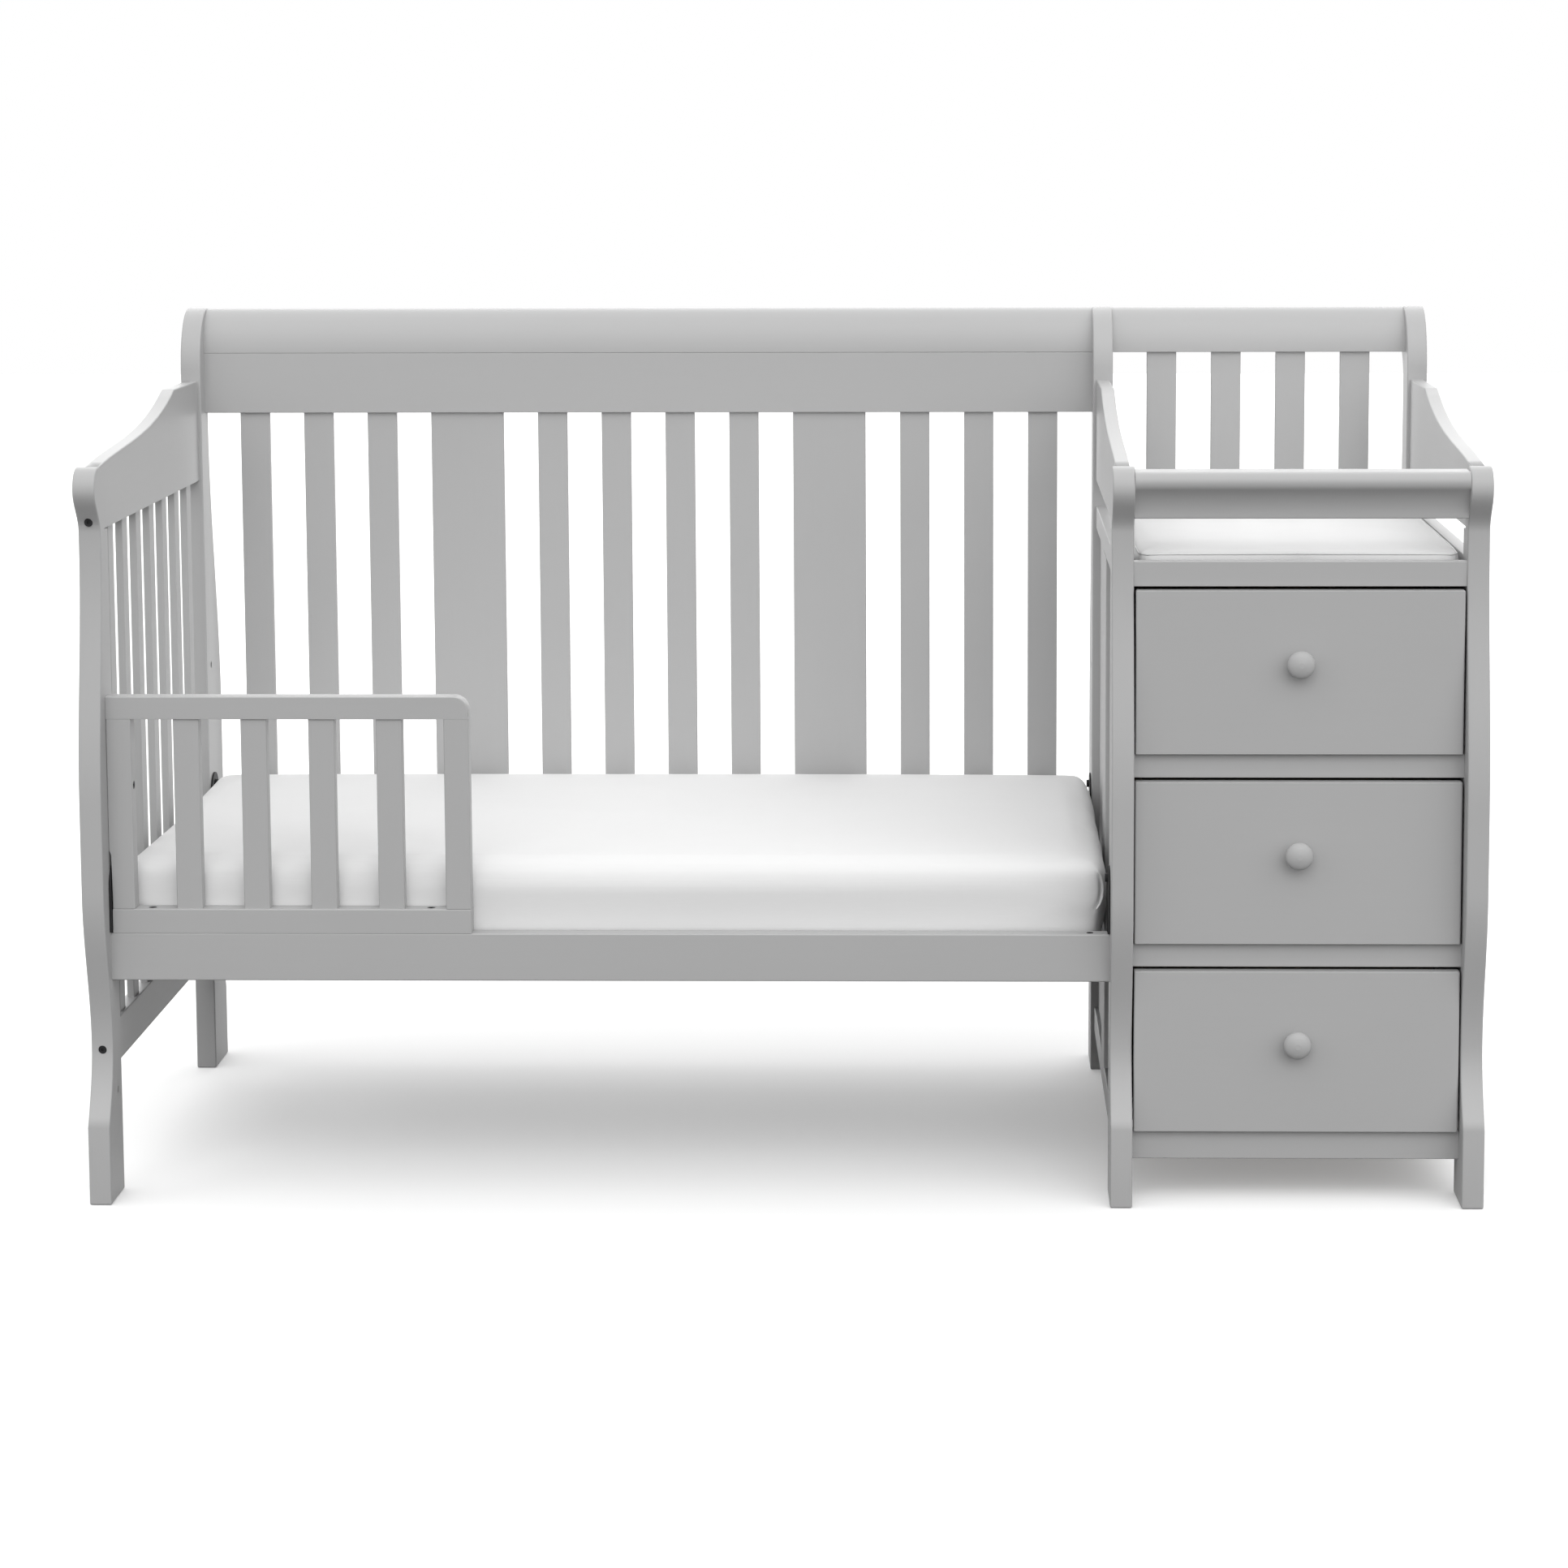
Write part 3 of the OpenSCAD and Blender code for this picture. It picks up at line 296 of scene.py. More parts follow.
@dataclass(frozen=True)
class SheetCotton:
    """White cotton of the mattress's fitted sheet."""

    colour: Colour = (0.72, 0.72, 0.72)
    slot: str = "mattress_sheet"
    thread: float = 0.0006

    def material(self) -> bpy.types.Material:
        """Plain weave, slubs in the yarn, a soft sheen and faint creases, whose dips are a little darker as painted
        shade.

        Returns:
            The material.
        """
        recipe = Recipe("sheet_cotton")
        places = recipe.places()
        scale = 1.0 / (self.thread * 20.0) * math.pi
        warp, weft, upright = (recipe.bands(places, scale, axis, 0.6) for axis in Axis)
        weave = recipe.pair("ADD", recipe.pair("ADD", warp, weft), upright)
        slubs = recipe.noise(recipe.places((40.0, 420.0, 420.0)), 1.0, 3.0, 0.6)
        creases = recipe.noise(recipe.places((3.2, 5.0, 7.0)), 1.0, 4.0, 0.5, 1.2)
        # Half of the tone follows the yarn's slubs, which is its own colour. The other half follows the crease relief
        # and is darker in the dips, which is painted shade.
        slub_tone_and_crease_shade = between(self.colour, (0.30, 0.985), (0.70, 1.012))
        yarn = recipe.relief(slubs, 0.0001, 0.35, recipe.relief(creases, 0.004, 0.22))
        return recipe.surface(
            recipe.tones(recipe.blend(slubs, creases, 0.5), slub_tone_and_crease_shade), recipe.range(slubs, 0.78, 0.90),
            recipe.relief(weave, 0.00008, 0.3, yarn),
            {"Metallic": 0.0, "IOR": 1.4, "Sheen Weight": 0.12, "Sheen Roughness": 0.45, "Specular IOR Level": 0.25},
        )


@dataclass(frozen=True)
class WipeCleanCover:
    """White coated cover of the changing pad, soft and slightly glossy."""

    colour: Colour = (0.675, 0.675, 0.675)
    slot: str = "pad_cover"

    def material(self) -> bpy.types.Material:
        """A fine pressed grain with pores, over soft pulls in the cover.

        Returns:
            The material.
        """
        recipe = Recipe("wipe_clean_cover")
        pressed = {"Vector": recipe.places(), "Scale": 620.0}
        grain = recipe.add("ShaderNodeTexVoronoi", pressed, feature="SMOOTH_F1").outputs["Distance"]
        pulls = recipe.noise(recipe.places((6.0, 9.0, 12.0)), 1.0, 3.0, 0.5, 0.8)
        # The tone follows the pulls' relief: painted shade in the dips and painted light on the rises.
        tone = recipe.tones(pulls, between(self.colour, (0.3, 0.985), (0.7, 1.01)))
        relief = recipe.relief(grain, 0.0001, 0.35, recipe.relief(pulls, 0.0025, 0.2))
        values = {"Metallic": 0.0, "IOR": 1.45, "Specular IOR Level": 0.35}
        return recipe.surface(tone, recipe.range(grain, 0.56, 0.70), relief, values)


@dataclass(frozen=True)
class PowderCoat:
    """Black powder coat on the mattress support, its hangers, the bolts and the barrel nuts."""

    colour: Colour = (0.013, 0.013, 0.014)
    slot: str = "black_steel"

    def material(self) -> bpy.types.Material:
        """Black with the fine orange peel of baked powder.

        Returns:
            The material.
        """
        recipe = Recipe("powder_coat")
        peel = recipe.noise(recipe.places(), 900.0, 2.0, 0.5)
        dust = recipe.noise(recipe.places(), 24.0, 4.0, 0.6)
        tone = recipe.tones(dust, between(self.colour, (0.3, 1.0), (0.75, 1.5)))
        values = {"Metallic": 0.0, "IOR": 1.5, "Specular IOR Level": 0.2}
        return recipe.surface(tone, recipe.range(dust, 0.50, 0.64), recipe.relief(peel, 0.0001, 0.5), values)


@dataclass(frozen=True)
class ZincPlate:
    """Bright zinc on the runners and screws."""

    colour: Colour = (0.66, 0.67, 0.69)
    slot: str = "zinc_steel"

    def material(self) -> bpy.types.Material:
        """Plated sheet steel with drawn lines and a cloudy passivation.

        Returns:
            The material.
        """
        recipe = Recipe("zinc_plate")
        drawn = recipe.noise(recipe.places((700.0, 8.0, 700.0)), 1.0, 2.0, 0.5)
        cloud = recipe.noise(recipe.places(), 60.0, 4.0, 0.6)
        tone = recipe.tones(cloud, between(self.colour, (0.3, 0.9), (0.7, 1.06)))
        relief = recipe.relief(drawn, 0.00004, 0.4)
        return recipe.surface(tone, recipe.range(drawn, 0.26, 0.42), relief, {"Metallic": 1.0})


class Finishes:
    """Every finish of the piece, each made once."""

    def __init__(self) -> None:
        """Makes the materials."""
        self.paint = {axis: SatinPaint(axis) for axis in Axis}
        self.box = {axis: BoxWood(axis) for axis in Axis}
        self.cotton = SheetCotton()
        self.cover = WipeCleanCover()
        self.black = PowderCoat()
        self.zinc = ZincPlate()
        self._made: dict[object, bpy.types.Material] = {}

    def made(self, finish: object) -> bpy.types.Material:
        """A finish's material, made when it is first wanted.

        Args:
            finish: one of this class's finishes.

        Returns:
            Its material.
        """
        if finish not in self._made:
            self._made[finish] = finish.material()
            LOG.info("finish %s", self._made[finish].name)
        return self._made[finish]

    def on(self, piece: Shape, finish: object) -> None:
        """Puts a finish on a piece, new or packed.

        Args:
            piece: the object.
            finish: one of this class's finishes.
        """
        if "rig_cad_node" in piece:
            for spot in piece.material_slots:
                spot.link = "OBJECT"
                spot.material = self.made(finish)
            return
        piece.data.materials.clear()
        piece.data.materials.append(self.made(finish))


def bring_in(name: str, data: bpy.types.ID) -> Shape:
    """Puts a mesh, camera or light into the scene.

    Args:
        name: the new object's name.
        data: its mesh, camera or light.

    Returns:
        The new object.
    """
    thing = bpy.data.objects.new(name, data)
    bpy.context.scene.collection.objects.link(thing)
    return thing


def skin(work: Work, rings: list[list[bmesh.types.BMVert]], closed: bool) -> None:
    """Lays faces from ring to ring.

    Args:
        work: the mesh.
        rings: rings of its points, with as many in each.
        closed: whether the last ring meets the first. If not, both are filled.
    """
    for one, two in zip(rings, rings[1:] + (rings[:1] if closed else [])):
        for corners in zip(one, one[1:] + one[:1], two[1:] + two[:1], two):
            work.faces.new(corners)
    if not closed:
        work.faces.new(list(reversed(rings[0])))
        work.faces.new(rings[-1])


# ---- Wood ----


@dataclass
class WoodPart:
    """One packed wooden node and how its edges were machined."""

    node: str
    run: Axis
    rounding: Rounding = Rounding.LONG_EDGES
    radius: float = 0.0015
    steps: int = 2
    joint_line: float = 0.0
    joint_planes: Planes = ()
    ends_seen: bool = False
    body: Body = Body.FRAME

    sharp: float = math.radians(30.0)
    flat: float = math.radians(0.2)
    shaded_apart: float = math.radians(50.0)
    joint_slack: float = 4e-5
    shortest: float = 0.004
    smallest_outline: float = 0.025
    as_one: float = 2e-6
    degenerate: float = 1e-6
    parallel: float = 0.999

    def build(self) -> Shape:
        """Copies the node's shape and rounds its edges.

        Returns:
            The new piece, which rides on its body in the node's place.
        """
        work = bmesh.new()
        work.from_mesh(frame["nodes"][self.node].data)
        bmesh.ops.remove_doubles(work, verts=work.verts, dist=self.as_one)
        bmesh.ops.dissolve_limit(
            work, angle_limit=self.flat, verts=work.verts, edges=work.edges, use_dissolve_boundaries=False
        )
        for find, radius, steps in (
            (self._outer_edges, self.radius, self.steps), (self._joint_edges, self.joint_line, 1),
        ):
            edges = find(work) if radius > 0 else []
            if edges:
                bmesh.ops.bevel(
                    work, geom=edges, offset=radius, offset_type="OFFSET", segments=steps, profile=0.5,
                    affect="EDGES", clamp_overlap=False, loop_slide=True,
                )
        bmesh.ops.dissolve_degenerate(work, dist=self.degenerate, edges=work.edges)
        mesh = bpy.data.meshes.new(f"{self.node}_wood")
        work.to_mesh(mesh)
        work.free()
        for face in mesh.polygons:
            face.use_smooth = True
        mesh.set_sharp_from_angle(angle=self.shaded_apart)
        piece = bring_in(f"{self.node}_wood", mesh)
        even = piece.modifiers.new("even_shading", "WEIGHTED_NORMAL")
        even.keep_sharp = True
        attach(piece, self.body.value)
        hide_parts(self.node)
        LOG.info("%s: %d faces", piece.name, len(mesh.polygons))
        return piece

    def _convex(self, work: Work) -> Edges:
        """The sharp edges that point outward."""
        return [e for e in work.edges if len(e.link_faces) == 2 and e.calc_face_angle_signed(0.0) > self.sharp]

    def _in_joint(self, work: Work) -> Callable[[bmesh.types.BMEdge], bool]:
        """Says which edges lie in a plane where the piece meets a neighbour.

        Args:
            work: the mesh.

        Returns:
            A test that is true for such an edge.
        """
        planes = list(self.joint_planes)
        if not self.ends_seen:
            ends = [v.co[self.run.value] for v in work.verts]
            planes += [(self.run, min(ends)), (self.run, max(ends))]
        return lambda edge: any(
            all(abs(v.co[axis.value] - at) < self.joint_slack for v in edge.verts) for axis, at in planes
        )

    def _outer_edges(self, work: Work) -> Edges:
        """The edges that the router rounded.

        Args:
            work: the mesh.

        Returns:
            Its convex outer edges, without those of holes and joints.
        """
        convex = self._convex(work)
        if self.rounding is Rounding.LONG_EDGES:
            along = self.run.unit
            return [
                e for e in convex
                if abs((e.verts[1].co - e.verts[0].co).normalized().dot(along)) > self.parallel
                and e.calc_length() > self.shortest
            ]
        keep = self._without_holes(convex)
        if self.run is Axis.X and not self.joint_planes:
            return keep
        in_joint = self._in_joint(work)
        return [e for e in keep if not in_joint(e)]

    def _joint_edges(self, work: Work) -> Edges:
        """The edges round the faces that meet a neighbour, which show as a fine line."""
        return list(filter(self._in_joint(work), self._without_holes(self._convex(work))))

    def _without_holes(self, edges: Edges) -> Edges:
        """Leaves out the rims of bolt holes, which are small loops of their own.

        Args:
            edges: sharp edges of the mesh.

        Returns:
            Those in loops larger than a hole.
        """
        wanted, seen, kept = set(edges), set(), []
        for first in edges:
            if first in seen:
                continue
            group, queue = [], [first]
            seen.add(first)
            while queue:
                edge = queue.pop()
                group.append(edge)
                for corner in edge.verts:
                    for other in corner.link_edges:
                        if other in wanted and other not in seen:
                            seen.add(other)
                            queue.append(other)
            places = [v.co for e in group for v in e.verts]
            spread = [max(p[i] for p in places) - min(p[i] for p in places) for i in range(3)]
            if math.hypot(*spread) > self.smallest_outline:
                kept.extend(group)
        return kept

def strips(run: Axis, radius: float, *nodes: str) -> list[WoodPart]:
    """Straight pieces that run one way, whose long edges are eased."""
    return [WoodPart(node, run, radius=radius) for node in nodes]


class Assembly:
    """A group of pieces that are built and dressed together."""

    def parts(self) -> list[WoodPart]:
        """The wooden parts of this group."""
        return []

    def packed(self, finishes: Finishes) -> dict[str, object]:
        """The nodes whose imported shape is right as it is, with their finishes."""
        return {}

    def finish_of(self, part: WoodPart, finishes: Finishes) -> object:
        """The finish of a wooden part, which is paint along its run."""
        return finishes.paint[part.run]

    def build(self, finishes: Finishes) -> list[Shape]:
        """Builds and dresses the wooden parts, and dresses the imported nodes.

        Args:
            finishes: the finishes.

        Returns:
            The new pieces.
        """
        made = []
        for part in self.parts():
            piece = part.build()
            finishes.on(piece, self.finish_of(part, finishes))
            made.append(piece)
        for node, finish in self.packed(finishes).items():
            finishes.on(frame["nodes"][node], finish)
            LOG.info("%s dressed", node)
        return made


@dataclass
class Posts(Assembly):
    """The six S-shaped posts, cut from one board each."""

    edge: float = 0.0022
    steps: int = 3
    shoulder: Planes = ((Axis.Z, ARM_UNDERSIDE), (Axis.Y, -0.351))
    sides: tuple[str, ...] = ("left", "middle", "right")

    def parts(self) -> list[WoodPart]:
        """Each post, rounded all along its outline, but not on the shoulder that carries the arm.

        Returns:
            The front posts and the rear posts.
        """
        shape = (Axis.X, Rounding.OUTLINE, self.edge, self.steps)
        return [
            WoodPart(f"{side}_front_post", *shape, joint_planes=self.shoulder, ends_seen=True) for side in self.sides
        ] + [WoodPart(f"{side}_rear_post", *shape) for side in self.sides]

    def finish_of(self, part: WoodPart, finishes: Finishes) -> object:
        """Paint with the grain up the post."""
        return finishes.paint[Axis.Z]


@dataclass
class EndsAndSides(Assembly):
    """The swept arms, the slatted left end and the panelled sides of the changer."""

    arms: tuple[str, ...] = ("left_arm", "middle_arm", "right_arm")
    arm_edge: float = 0.0020
    arm_joints: Planes = ((Axis.Y, 0.308), (Axis.Z, ARM_UNDERSIDE))
    rail_edge: float = 0.0015
    slat_edge: float = 0.0012

    def parts(self) -> list[WoodPart]:
        """Arms, rails, slats and muntins.

        Returns:
            The parts.
        """
        shape = (Axis.Y, Rounding.OUTLINE, self.arm_edge, 3)
        return [
            *(WoodPart(arm, *shape, joint_planes=self.arm_joints) for arm in self.arms),
            *strips(Axis.Y, self.rail_edge, "end_bottom_rail"),
            *strips(Axis.Z, self.slat_edge, "end_slats"),
            *strips(Axis.Y, self.rail_edge, "side_upper_rails", "side_lower_rails"),
            *strips(Axis.Z, self.rail_edge, "side_muntins"),
        ]

    def packed(self, finishes: Finishes) -> dict[str, object]:
        """The thin panels in the sides."""
        return {"side_panels": finishes.paint[Axis.Z]}


@dataclass
class Backs(Assembly):
    """The sleigh back of the crib and the lower back of the changer."""

    cap_edge: float = 0.0010
    rail_edge: float = 0.0012
    slat_edge: float = 0.0013

    def parts(self) -> list[WoodPart]:
        """Cap rails, flat rails and slats.

        Returns:
            The parts.
        """
        return [
            *strips(Axis.X, self.cap_edge, "crib_cap_rail", "changer_cap_rail", "crib_top_rail"),
            *strips(Axis.X, self.rail_edge, "crib_bottom_rail", "changer_back_rails"),
            *strips(Axis.Z, self.slat_edge, "crib_slats", "changer_slats"),
        ]

    def packed(self, finishes: Finishes) -> dict[str, object]:
        """The changer's back panel."""
        return {"changer_back_panel": finishes.paint[Axis.Z]}


@dataclass
class FrontAndGuard(Assembly):
    """The toddler rail across the front and the short guard rail bolted on it."""

    edge: float = 0.0018
    slat_edge: float = 0.0013
    nut_hole: float = 0.0052
    nut_hole_x: tuple[float, float] = (-0.862, 0.402)
    shaded_hole_face_area: float = 0.0004
    joint: float = 0.0004
    top_joints: Planes = ((Axis.Z, 0.6428), (Axis.X, -0.888))
    bottom_joints: Planes = ((Axis.Z, 0.3575), (Axis.X, -0.885))

    def parts(self) -> list[WoodPart]:
        """The rails, stiles and slats.

        Returns:
            The parts, with the front rail first.
        """
        shape = (Axis.X, Rounding.OUTLINE, self.edge, 3, self.joint)
        return [
            *strips(Axis.X, self.edge, "front_rail"),
            WoodPart("guard_top_rail", *shape, self.top_joints),
            WoodPart("guard_bottom_rail", *shape, self.bottom_joints),
            WoodPart("guard_stiles", Axis.Z, radius=self.edge, steps=3, joint_line=self.joint),
            *strips(Axis.Z, self.slat_edge, "guard_slats"),
        ]

    def build(self, finishes: Finishes) -> list[Shape]:
        """Builds the rails, and colours the walls of the drilled holes for the barrel nuts with black powder coat, as
        painted shade in the recess.

        Args:
            finishes: the finishes.

        Returns:
            The new pieces.
        """
        made = super().build(finishes)
        rail = made[0].data
        rail.materials.append(finishes.made(finishes.black))
        # Painted shade: the small upright faces inside the two nut holes take the black powder coat, so the recess
        # reads dark.
        for face in rail.polygons:
            across = abs(face.normal.z) < 0.1 and min(abs(face.center.x - x) for x in self.nut_hole_x) < self.nut_hole
            if across and face.area < self.shaded_hole_face_area:
                face.material_index = 1
        return made


@dataclass
class ChangerFront(Assembly):
    """The rolled rail, the tray and the rails between the drawers."""

    edge: float = 0.0014

    def parts(self) -> list[WoodPart]:
        """The rails that run between the two posts."""
        return strips(Axis.X, self.edge, "rolled_rail", "tray_front_rail", "drawer_dividers", "base_rail")

    def packed(self, finishes: Finishes) -> dict[str, object]:
        """The deck under the changing pad."""
        return {"tray_deck": finishes.paint[Axis.X]}


@dataclass
class Drawer(Assembly):
    """One drawer: painted front and knob, bare box and zinc runners."""

    body: Body
    front_edge: float = 0.0020
    wall_edge: float = 0.0008

    def parts(self) -> list[WoodPart]:
        """The front and the box's walls.

        Returns:
            The two parts.
        """
        name = self.body.value
        return [
            WoodPart(f"{name}_front", Axis.X, Rounding.OUTLINE, self.front_edge, 3, body=self.body),
            WoodPart(f"{name}_walls", Axis.Y, radius=self.wall_edge, body=self.body),
        ]

    def finish_of(self, part: WoodPart, finishes: Finishes) -> object:
        """Paint on the front and bare wood on the walls."""
        return finishes.box[Axis.Y] if part.node.endswith("walls") else finishes.paint[Axis.X]

    def packed(self, finishes: Finishes) -> dict[str, object]:
        """The knob, the bottom, the screw and the runners."""
        looks = (finishes.paint[Axis.Y], finishes.box[Axis.X], finishes.zinc, finishes.zinc)
        return {f"{self.body.value}_{end}": look for end, look in zip(("knob", "bottom", "screw", "runners"), looks)}


@dataclass
class Fittings(Assembly):
    """Steel: the mattress support, its hangers, the bolts, nuts and cabinet runners."""

    black: tuple[str, ...] = (
        "mattress_support", "support_hangers", "end_bolts", "rail_bolts", "hanger_bolts", "barrel_nuts",
    )
    plated: tuple[str, ...] = ("cabinet_runners",)

    def packed(self, finishes: Finishes) -> dict[str, object]:
        """All of the steel."""
        return dict.fromkeys(self.black, finishes.black) | dict.fromkeys(self.plated, finishes.zinc)


# ---- Soft goods ----


@dataclass
class StuffedBlock:
    """A foam block in a sewn cover, swollen by a cloth simulation."""

    node: str
    front_corner: float
    rear_corner: float
    edge: float
    crown: float
    draw: float
    voxel: float
    shrink: float
    pressure: float
    cap: float
    clear: float
    proud: float
    fill: float
    frames: int = 20
    arc_steps: int = 8
    side_steps: int = 12
    quality: int = 6
    mass: float = 0.3
    stretch: float = 80.0
    shear: float = 8.0
    bend: float = 1.5
    least_corner: float = 0.004
    under: float = 0.0002
    lean_from: float = 0.86
    room: tuple[float, float] = (0.0, 0.0)
    room_run: float = 0.08
    wave: float = 0.20
    wave_pitch: tuple[float, float] = (34.0, 13.0)
    wave_turn: float = 1.3

    def cover(self, shape: Callable[[np.ndarray], np.ndarray]) -> Shape:
        """The block in its swollen cover.

        Args:
            shape: moves the cover's points, such as into gathers.

        Returns:
            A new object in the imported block's place.
        """
        piece = self._block()
        self._swell(piece)
        self._settle(piece, shape)
        self._lean(piece)
        return piece

    def outline(self, inset: float, draw: float) -> list[Vector]:
        """A level line round the block, with round corners and sides that draw in.

        Args:
            inset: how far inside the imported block's box it lies.
            draw: how far the middle of each side draws in.

        Returns:
            Its points, from the right rear corner round by the left.
        """
        low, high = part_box(self.node)
        corners = (
            (high.x, high.y, self.rear_corner), (low.x, high.y, self.rear_corner),
            (low.x, low.y, self.front_corner), (high.x, low.y, self.front_corner),
        )
        middle = (low + high) / 2
        arcs = []
        for turn, (x, y, radius) in enumerate(corners):
            small = max(radius - inset, self.least_corner)
            centre = Vector((
                x - math.copysign(inset + small, x - middle.x), y - math.copysign(inset + small, y - middle.y),
            ))
            angles = [math.pi / 2 * (turn + step / self.arc_steps) for step in range(self.arc_steps + 1)]
            arcs.append([centre + small * Vector((math.cos(a), math.sin(a))) for a in angles])
        line = []
        for turn, arc in enumerate(arcs):
            line += arc
            last, first = arc[-1], arcs[(turn + 1) % 4][0]
            inward = -Vector((math.cos(math.pi / 2 * (turn + 1)), math.sin(math.pi / 2 * (turn + 1))))
            for step in range(1, self.side_steps):
                u = step / self.side_steps
                line.append(last.lerp(first, u) + inward * draw * math.sin(math.pi * u))
        return line

    def _block(self) -> Shape:
        """The stuffed block before it swells, a little smaller, with an even mesh.

        Returns:
            A new object.
        """
        low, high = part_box(self.node)
        shoulder = high.z - self.crown
        bow = [(math.sin(math.radians(a)), math.cos(math.radians(a))) for a in (0.0, 22.5, 45.0, 67.5, 90.0)]
        rings = [(self.edge * (1 - c), low.z + self.edge * (1 - r), self.draw * c) for r, c in reversed(bow)]
        rings += [(self.edge * (1 - c), shoulder - self.edge * (1 - r), self.draw * c) for r, c in bow]
        reach = min(high.x - low.x, high.y - low.y) / 2 - self.edge
        for u in (0.12, 0.3, 0.5, 0.7, 0.9):
            rings.append((self.edge + reach * u, shoulder + self.crown * math.sin(math.pi / 2 * u), 0.0))
        work = bmesh.new()
        loops = []
        for inset, height, draw in rings:
            level = height + self.shrink * (1 if height < (low.z + high.z) / 2 else -1)
            loops.append([work.verts.new((q.x, q.y, level)) for q in self.outline(inset + self.shrink, draw)])
        skin(work, loops, False)
        mesh = bpy.data.meshes.new(f"{self.node}_block")
        work.to_mesh(mesh)
        work.free()
        piece = bring_in(f"{self.node}_cover", mesh)
        even = piece.modifiers.new("even", "REMESH")
        even.mode = "VOXEL"
        even.voxel_size = self.voxel
        self._apply(piece)
        return piece

    @staticmethod
    def _apply(piece: Shape) -> None:
        """Makes what the modifiers give the piece's own mesh.

        Args:
            piece: the piece.
        """
        graph = bpy.context.evaluated_depsgraph_get()
        mesh = bpy.data.meshes.new_from_object(piece.evaluated_get(graph), depsgraph=graph)
        piece.modifiers.clear()
        piece.data = mesh

    def _swell(self, piece: Shape) -> None:
        """Blows the cover up a little against its own weave.

        Args:
            piece: the block, whose mesh is changed.
        """
        rest = self._rows(piece.data)
        cloth = piece.modifiers.new("swell", "CLOTH")
        settings = cloth.settings
        settings.quality, settings.mass = self.quality, self.mass
        settings.tension_stiffness = settings.compression_stiffness = self.stretch
        settings.shear_stiffness = self.shear
        settings.bending_stiffness = self.bend
        settings.use_pressure = True
        settings.uniform_pressure_force = self.pressure
        settings.effector_weights.gravity = 0.0
        cloth.collision_settings.use_collision = False
        cloth.point_cache.frame_start = 1
        cloth.point_cache.frame_end = self.frames
        scene = bpy.context.scene
        for step in range(1, self.frames + 1):
            scene.frame_set(step)
        graph = bpy.context.evaluated_depsgraph_get()
        moved = self._rows(piece.evaluated_get(graph).to_mesh()) - rest
        piece.evaluated_get(graph).to_mesh_clear()
        piece.modifiers.clear()
        scene.frame_set(1)
        length = np.linalg.norm(moved, axis=1, keepdims=True)
        moved *= np.minimum(1.0, self.cap / np.maximum(length, 1e-9))
        self._set_points(piece.data, rest + moved)
        LOG.info("%s swelled by up to %.1f mm", piece.name, float(length.max()) * 1000)

    def _settle(self, piece: Shape, shape: Callable[[np.ndarray], np.ndarray]) -> None:
        """Shapes the cover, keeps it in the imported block's box, and rounds it off.

        Args:
            piece: the swollen cover.
            shape: moves its points, such as into gathers.
        """
        low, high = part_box(self.node)
        points = shape(self._rows(piece.data))
        lift = np.clip((points[:, 2] - low.z) / (high.z - low.z), 0.0, 1.0)
        points[:, 2] += lift * self.proud
        least = low + Vector((self.clear, self.clear, self.under))
        most = high + Vector((-self.clear, -self.clear, self.proud))
        points = np.clip(points, np.array(least), np.array(most))
        self._set_points(piece.data, points)
        finer = piece.modifiers.new("finer", "SUBSURF")
        finer.levels = finer.render_levels = 1
        self._apply(piece)

    def _lean(self, piece: Shape) -> None:
        """Lets the two ends swell into the room between the posts, in soft waves.

        Args:
            piece: the settled cover.
        """
        low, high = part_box(self.node)
        points = self._rows(piece.data)
        off = points[:, 0] - (low.x + high.x) / 2
        out = np.abs(off) / (high.x - low.x) * 2
        reach = np.clip((out - self.lean_from) / (1 - self.lean_from), 0, 1) ** 2
        reach *= np.where(off > 0, self.room[1], self.room[0])
        front = np.clip((points[:, 1] - low.y - self.front_corner) / self.room_run, 0, 1)
        back = np.clip((high.y - self.rear_corner - points[:, 1]) / self.room_run, 0, 1)
        fine, wide = self.wave_pitch
        waves = np.sin(points[:, 1] * fine + np.sign(off) * self.wave_turn) * np.sin(points[:, 1] * wide)
        reach *= 1 - self.wave + self.wave * waves
        points[:, 0] += np.sign(off) * reach * np.sin(front * np.pi / 2) * np.sin(back * np.pi / 2)
        self._set_points(piece.data, points)

    def refine_corners(self, piece: Shape, reach: float) -> None:
        """Halves the mesh's edges near the four corners, for creases that are too fine for the voxels.

        Args:
            piece: the cover.
            reach: how far from a corner's two sides.
        """
        low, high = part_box(self.node)
        work = bmesh.new()
        work.from_mesh(piece.data)
        near = {
            v for v in work.verts
            if min(v.co.x - low.x, high.x - v.co.x) < reach and min(v.co.y - low.y, high.y - v.co.y) < reach
        }
        edges = [e for e in work.edges if e.verts[0] in near and e.verts[1] in near]
        bmesh.ops.subdivide_edges(work, edges=edges, cuts=1, use_grid_fill=True)
        work.to_mesh(piece.data)
        work.free()

    def crease(self, piece: Shape, lines: list[list[Vector]], depth: float, width: float) -> None:
        """Presses soft creases into the cover.

        Args:
            piece: the cover.
            lines: points along each crease, on the cover.
            depth: how deep a crease is in its middle.
            width: how wide it is.
        """
        points, normals = self._rows(piece.data), self._rows(piece.data, "normal")
        for line in lines:
            near = np.full(len(points), 1e9)
            deepest = np.zeros(len(points))
            for step, place in enumerate(line):
                away = np.linalg.norm(points - np.array(place), axis=1)
                fade = math.sin(math.pi * (step + 0.5) / len(line)) ** 0.6
                closer = away < near
                near[closer], deepest[closer] = away[closer], fade
            points -= normals * (depth * deepest * np.exp(-((near / width) ** 2)))[:, None]
        self._set_points(piece.data, points)

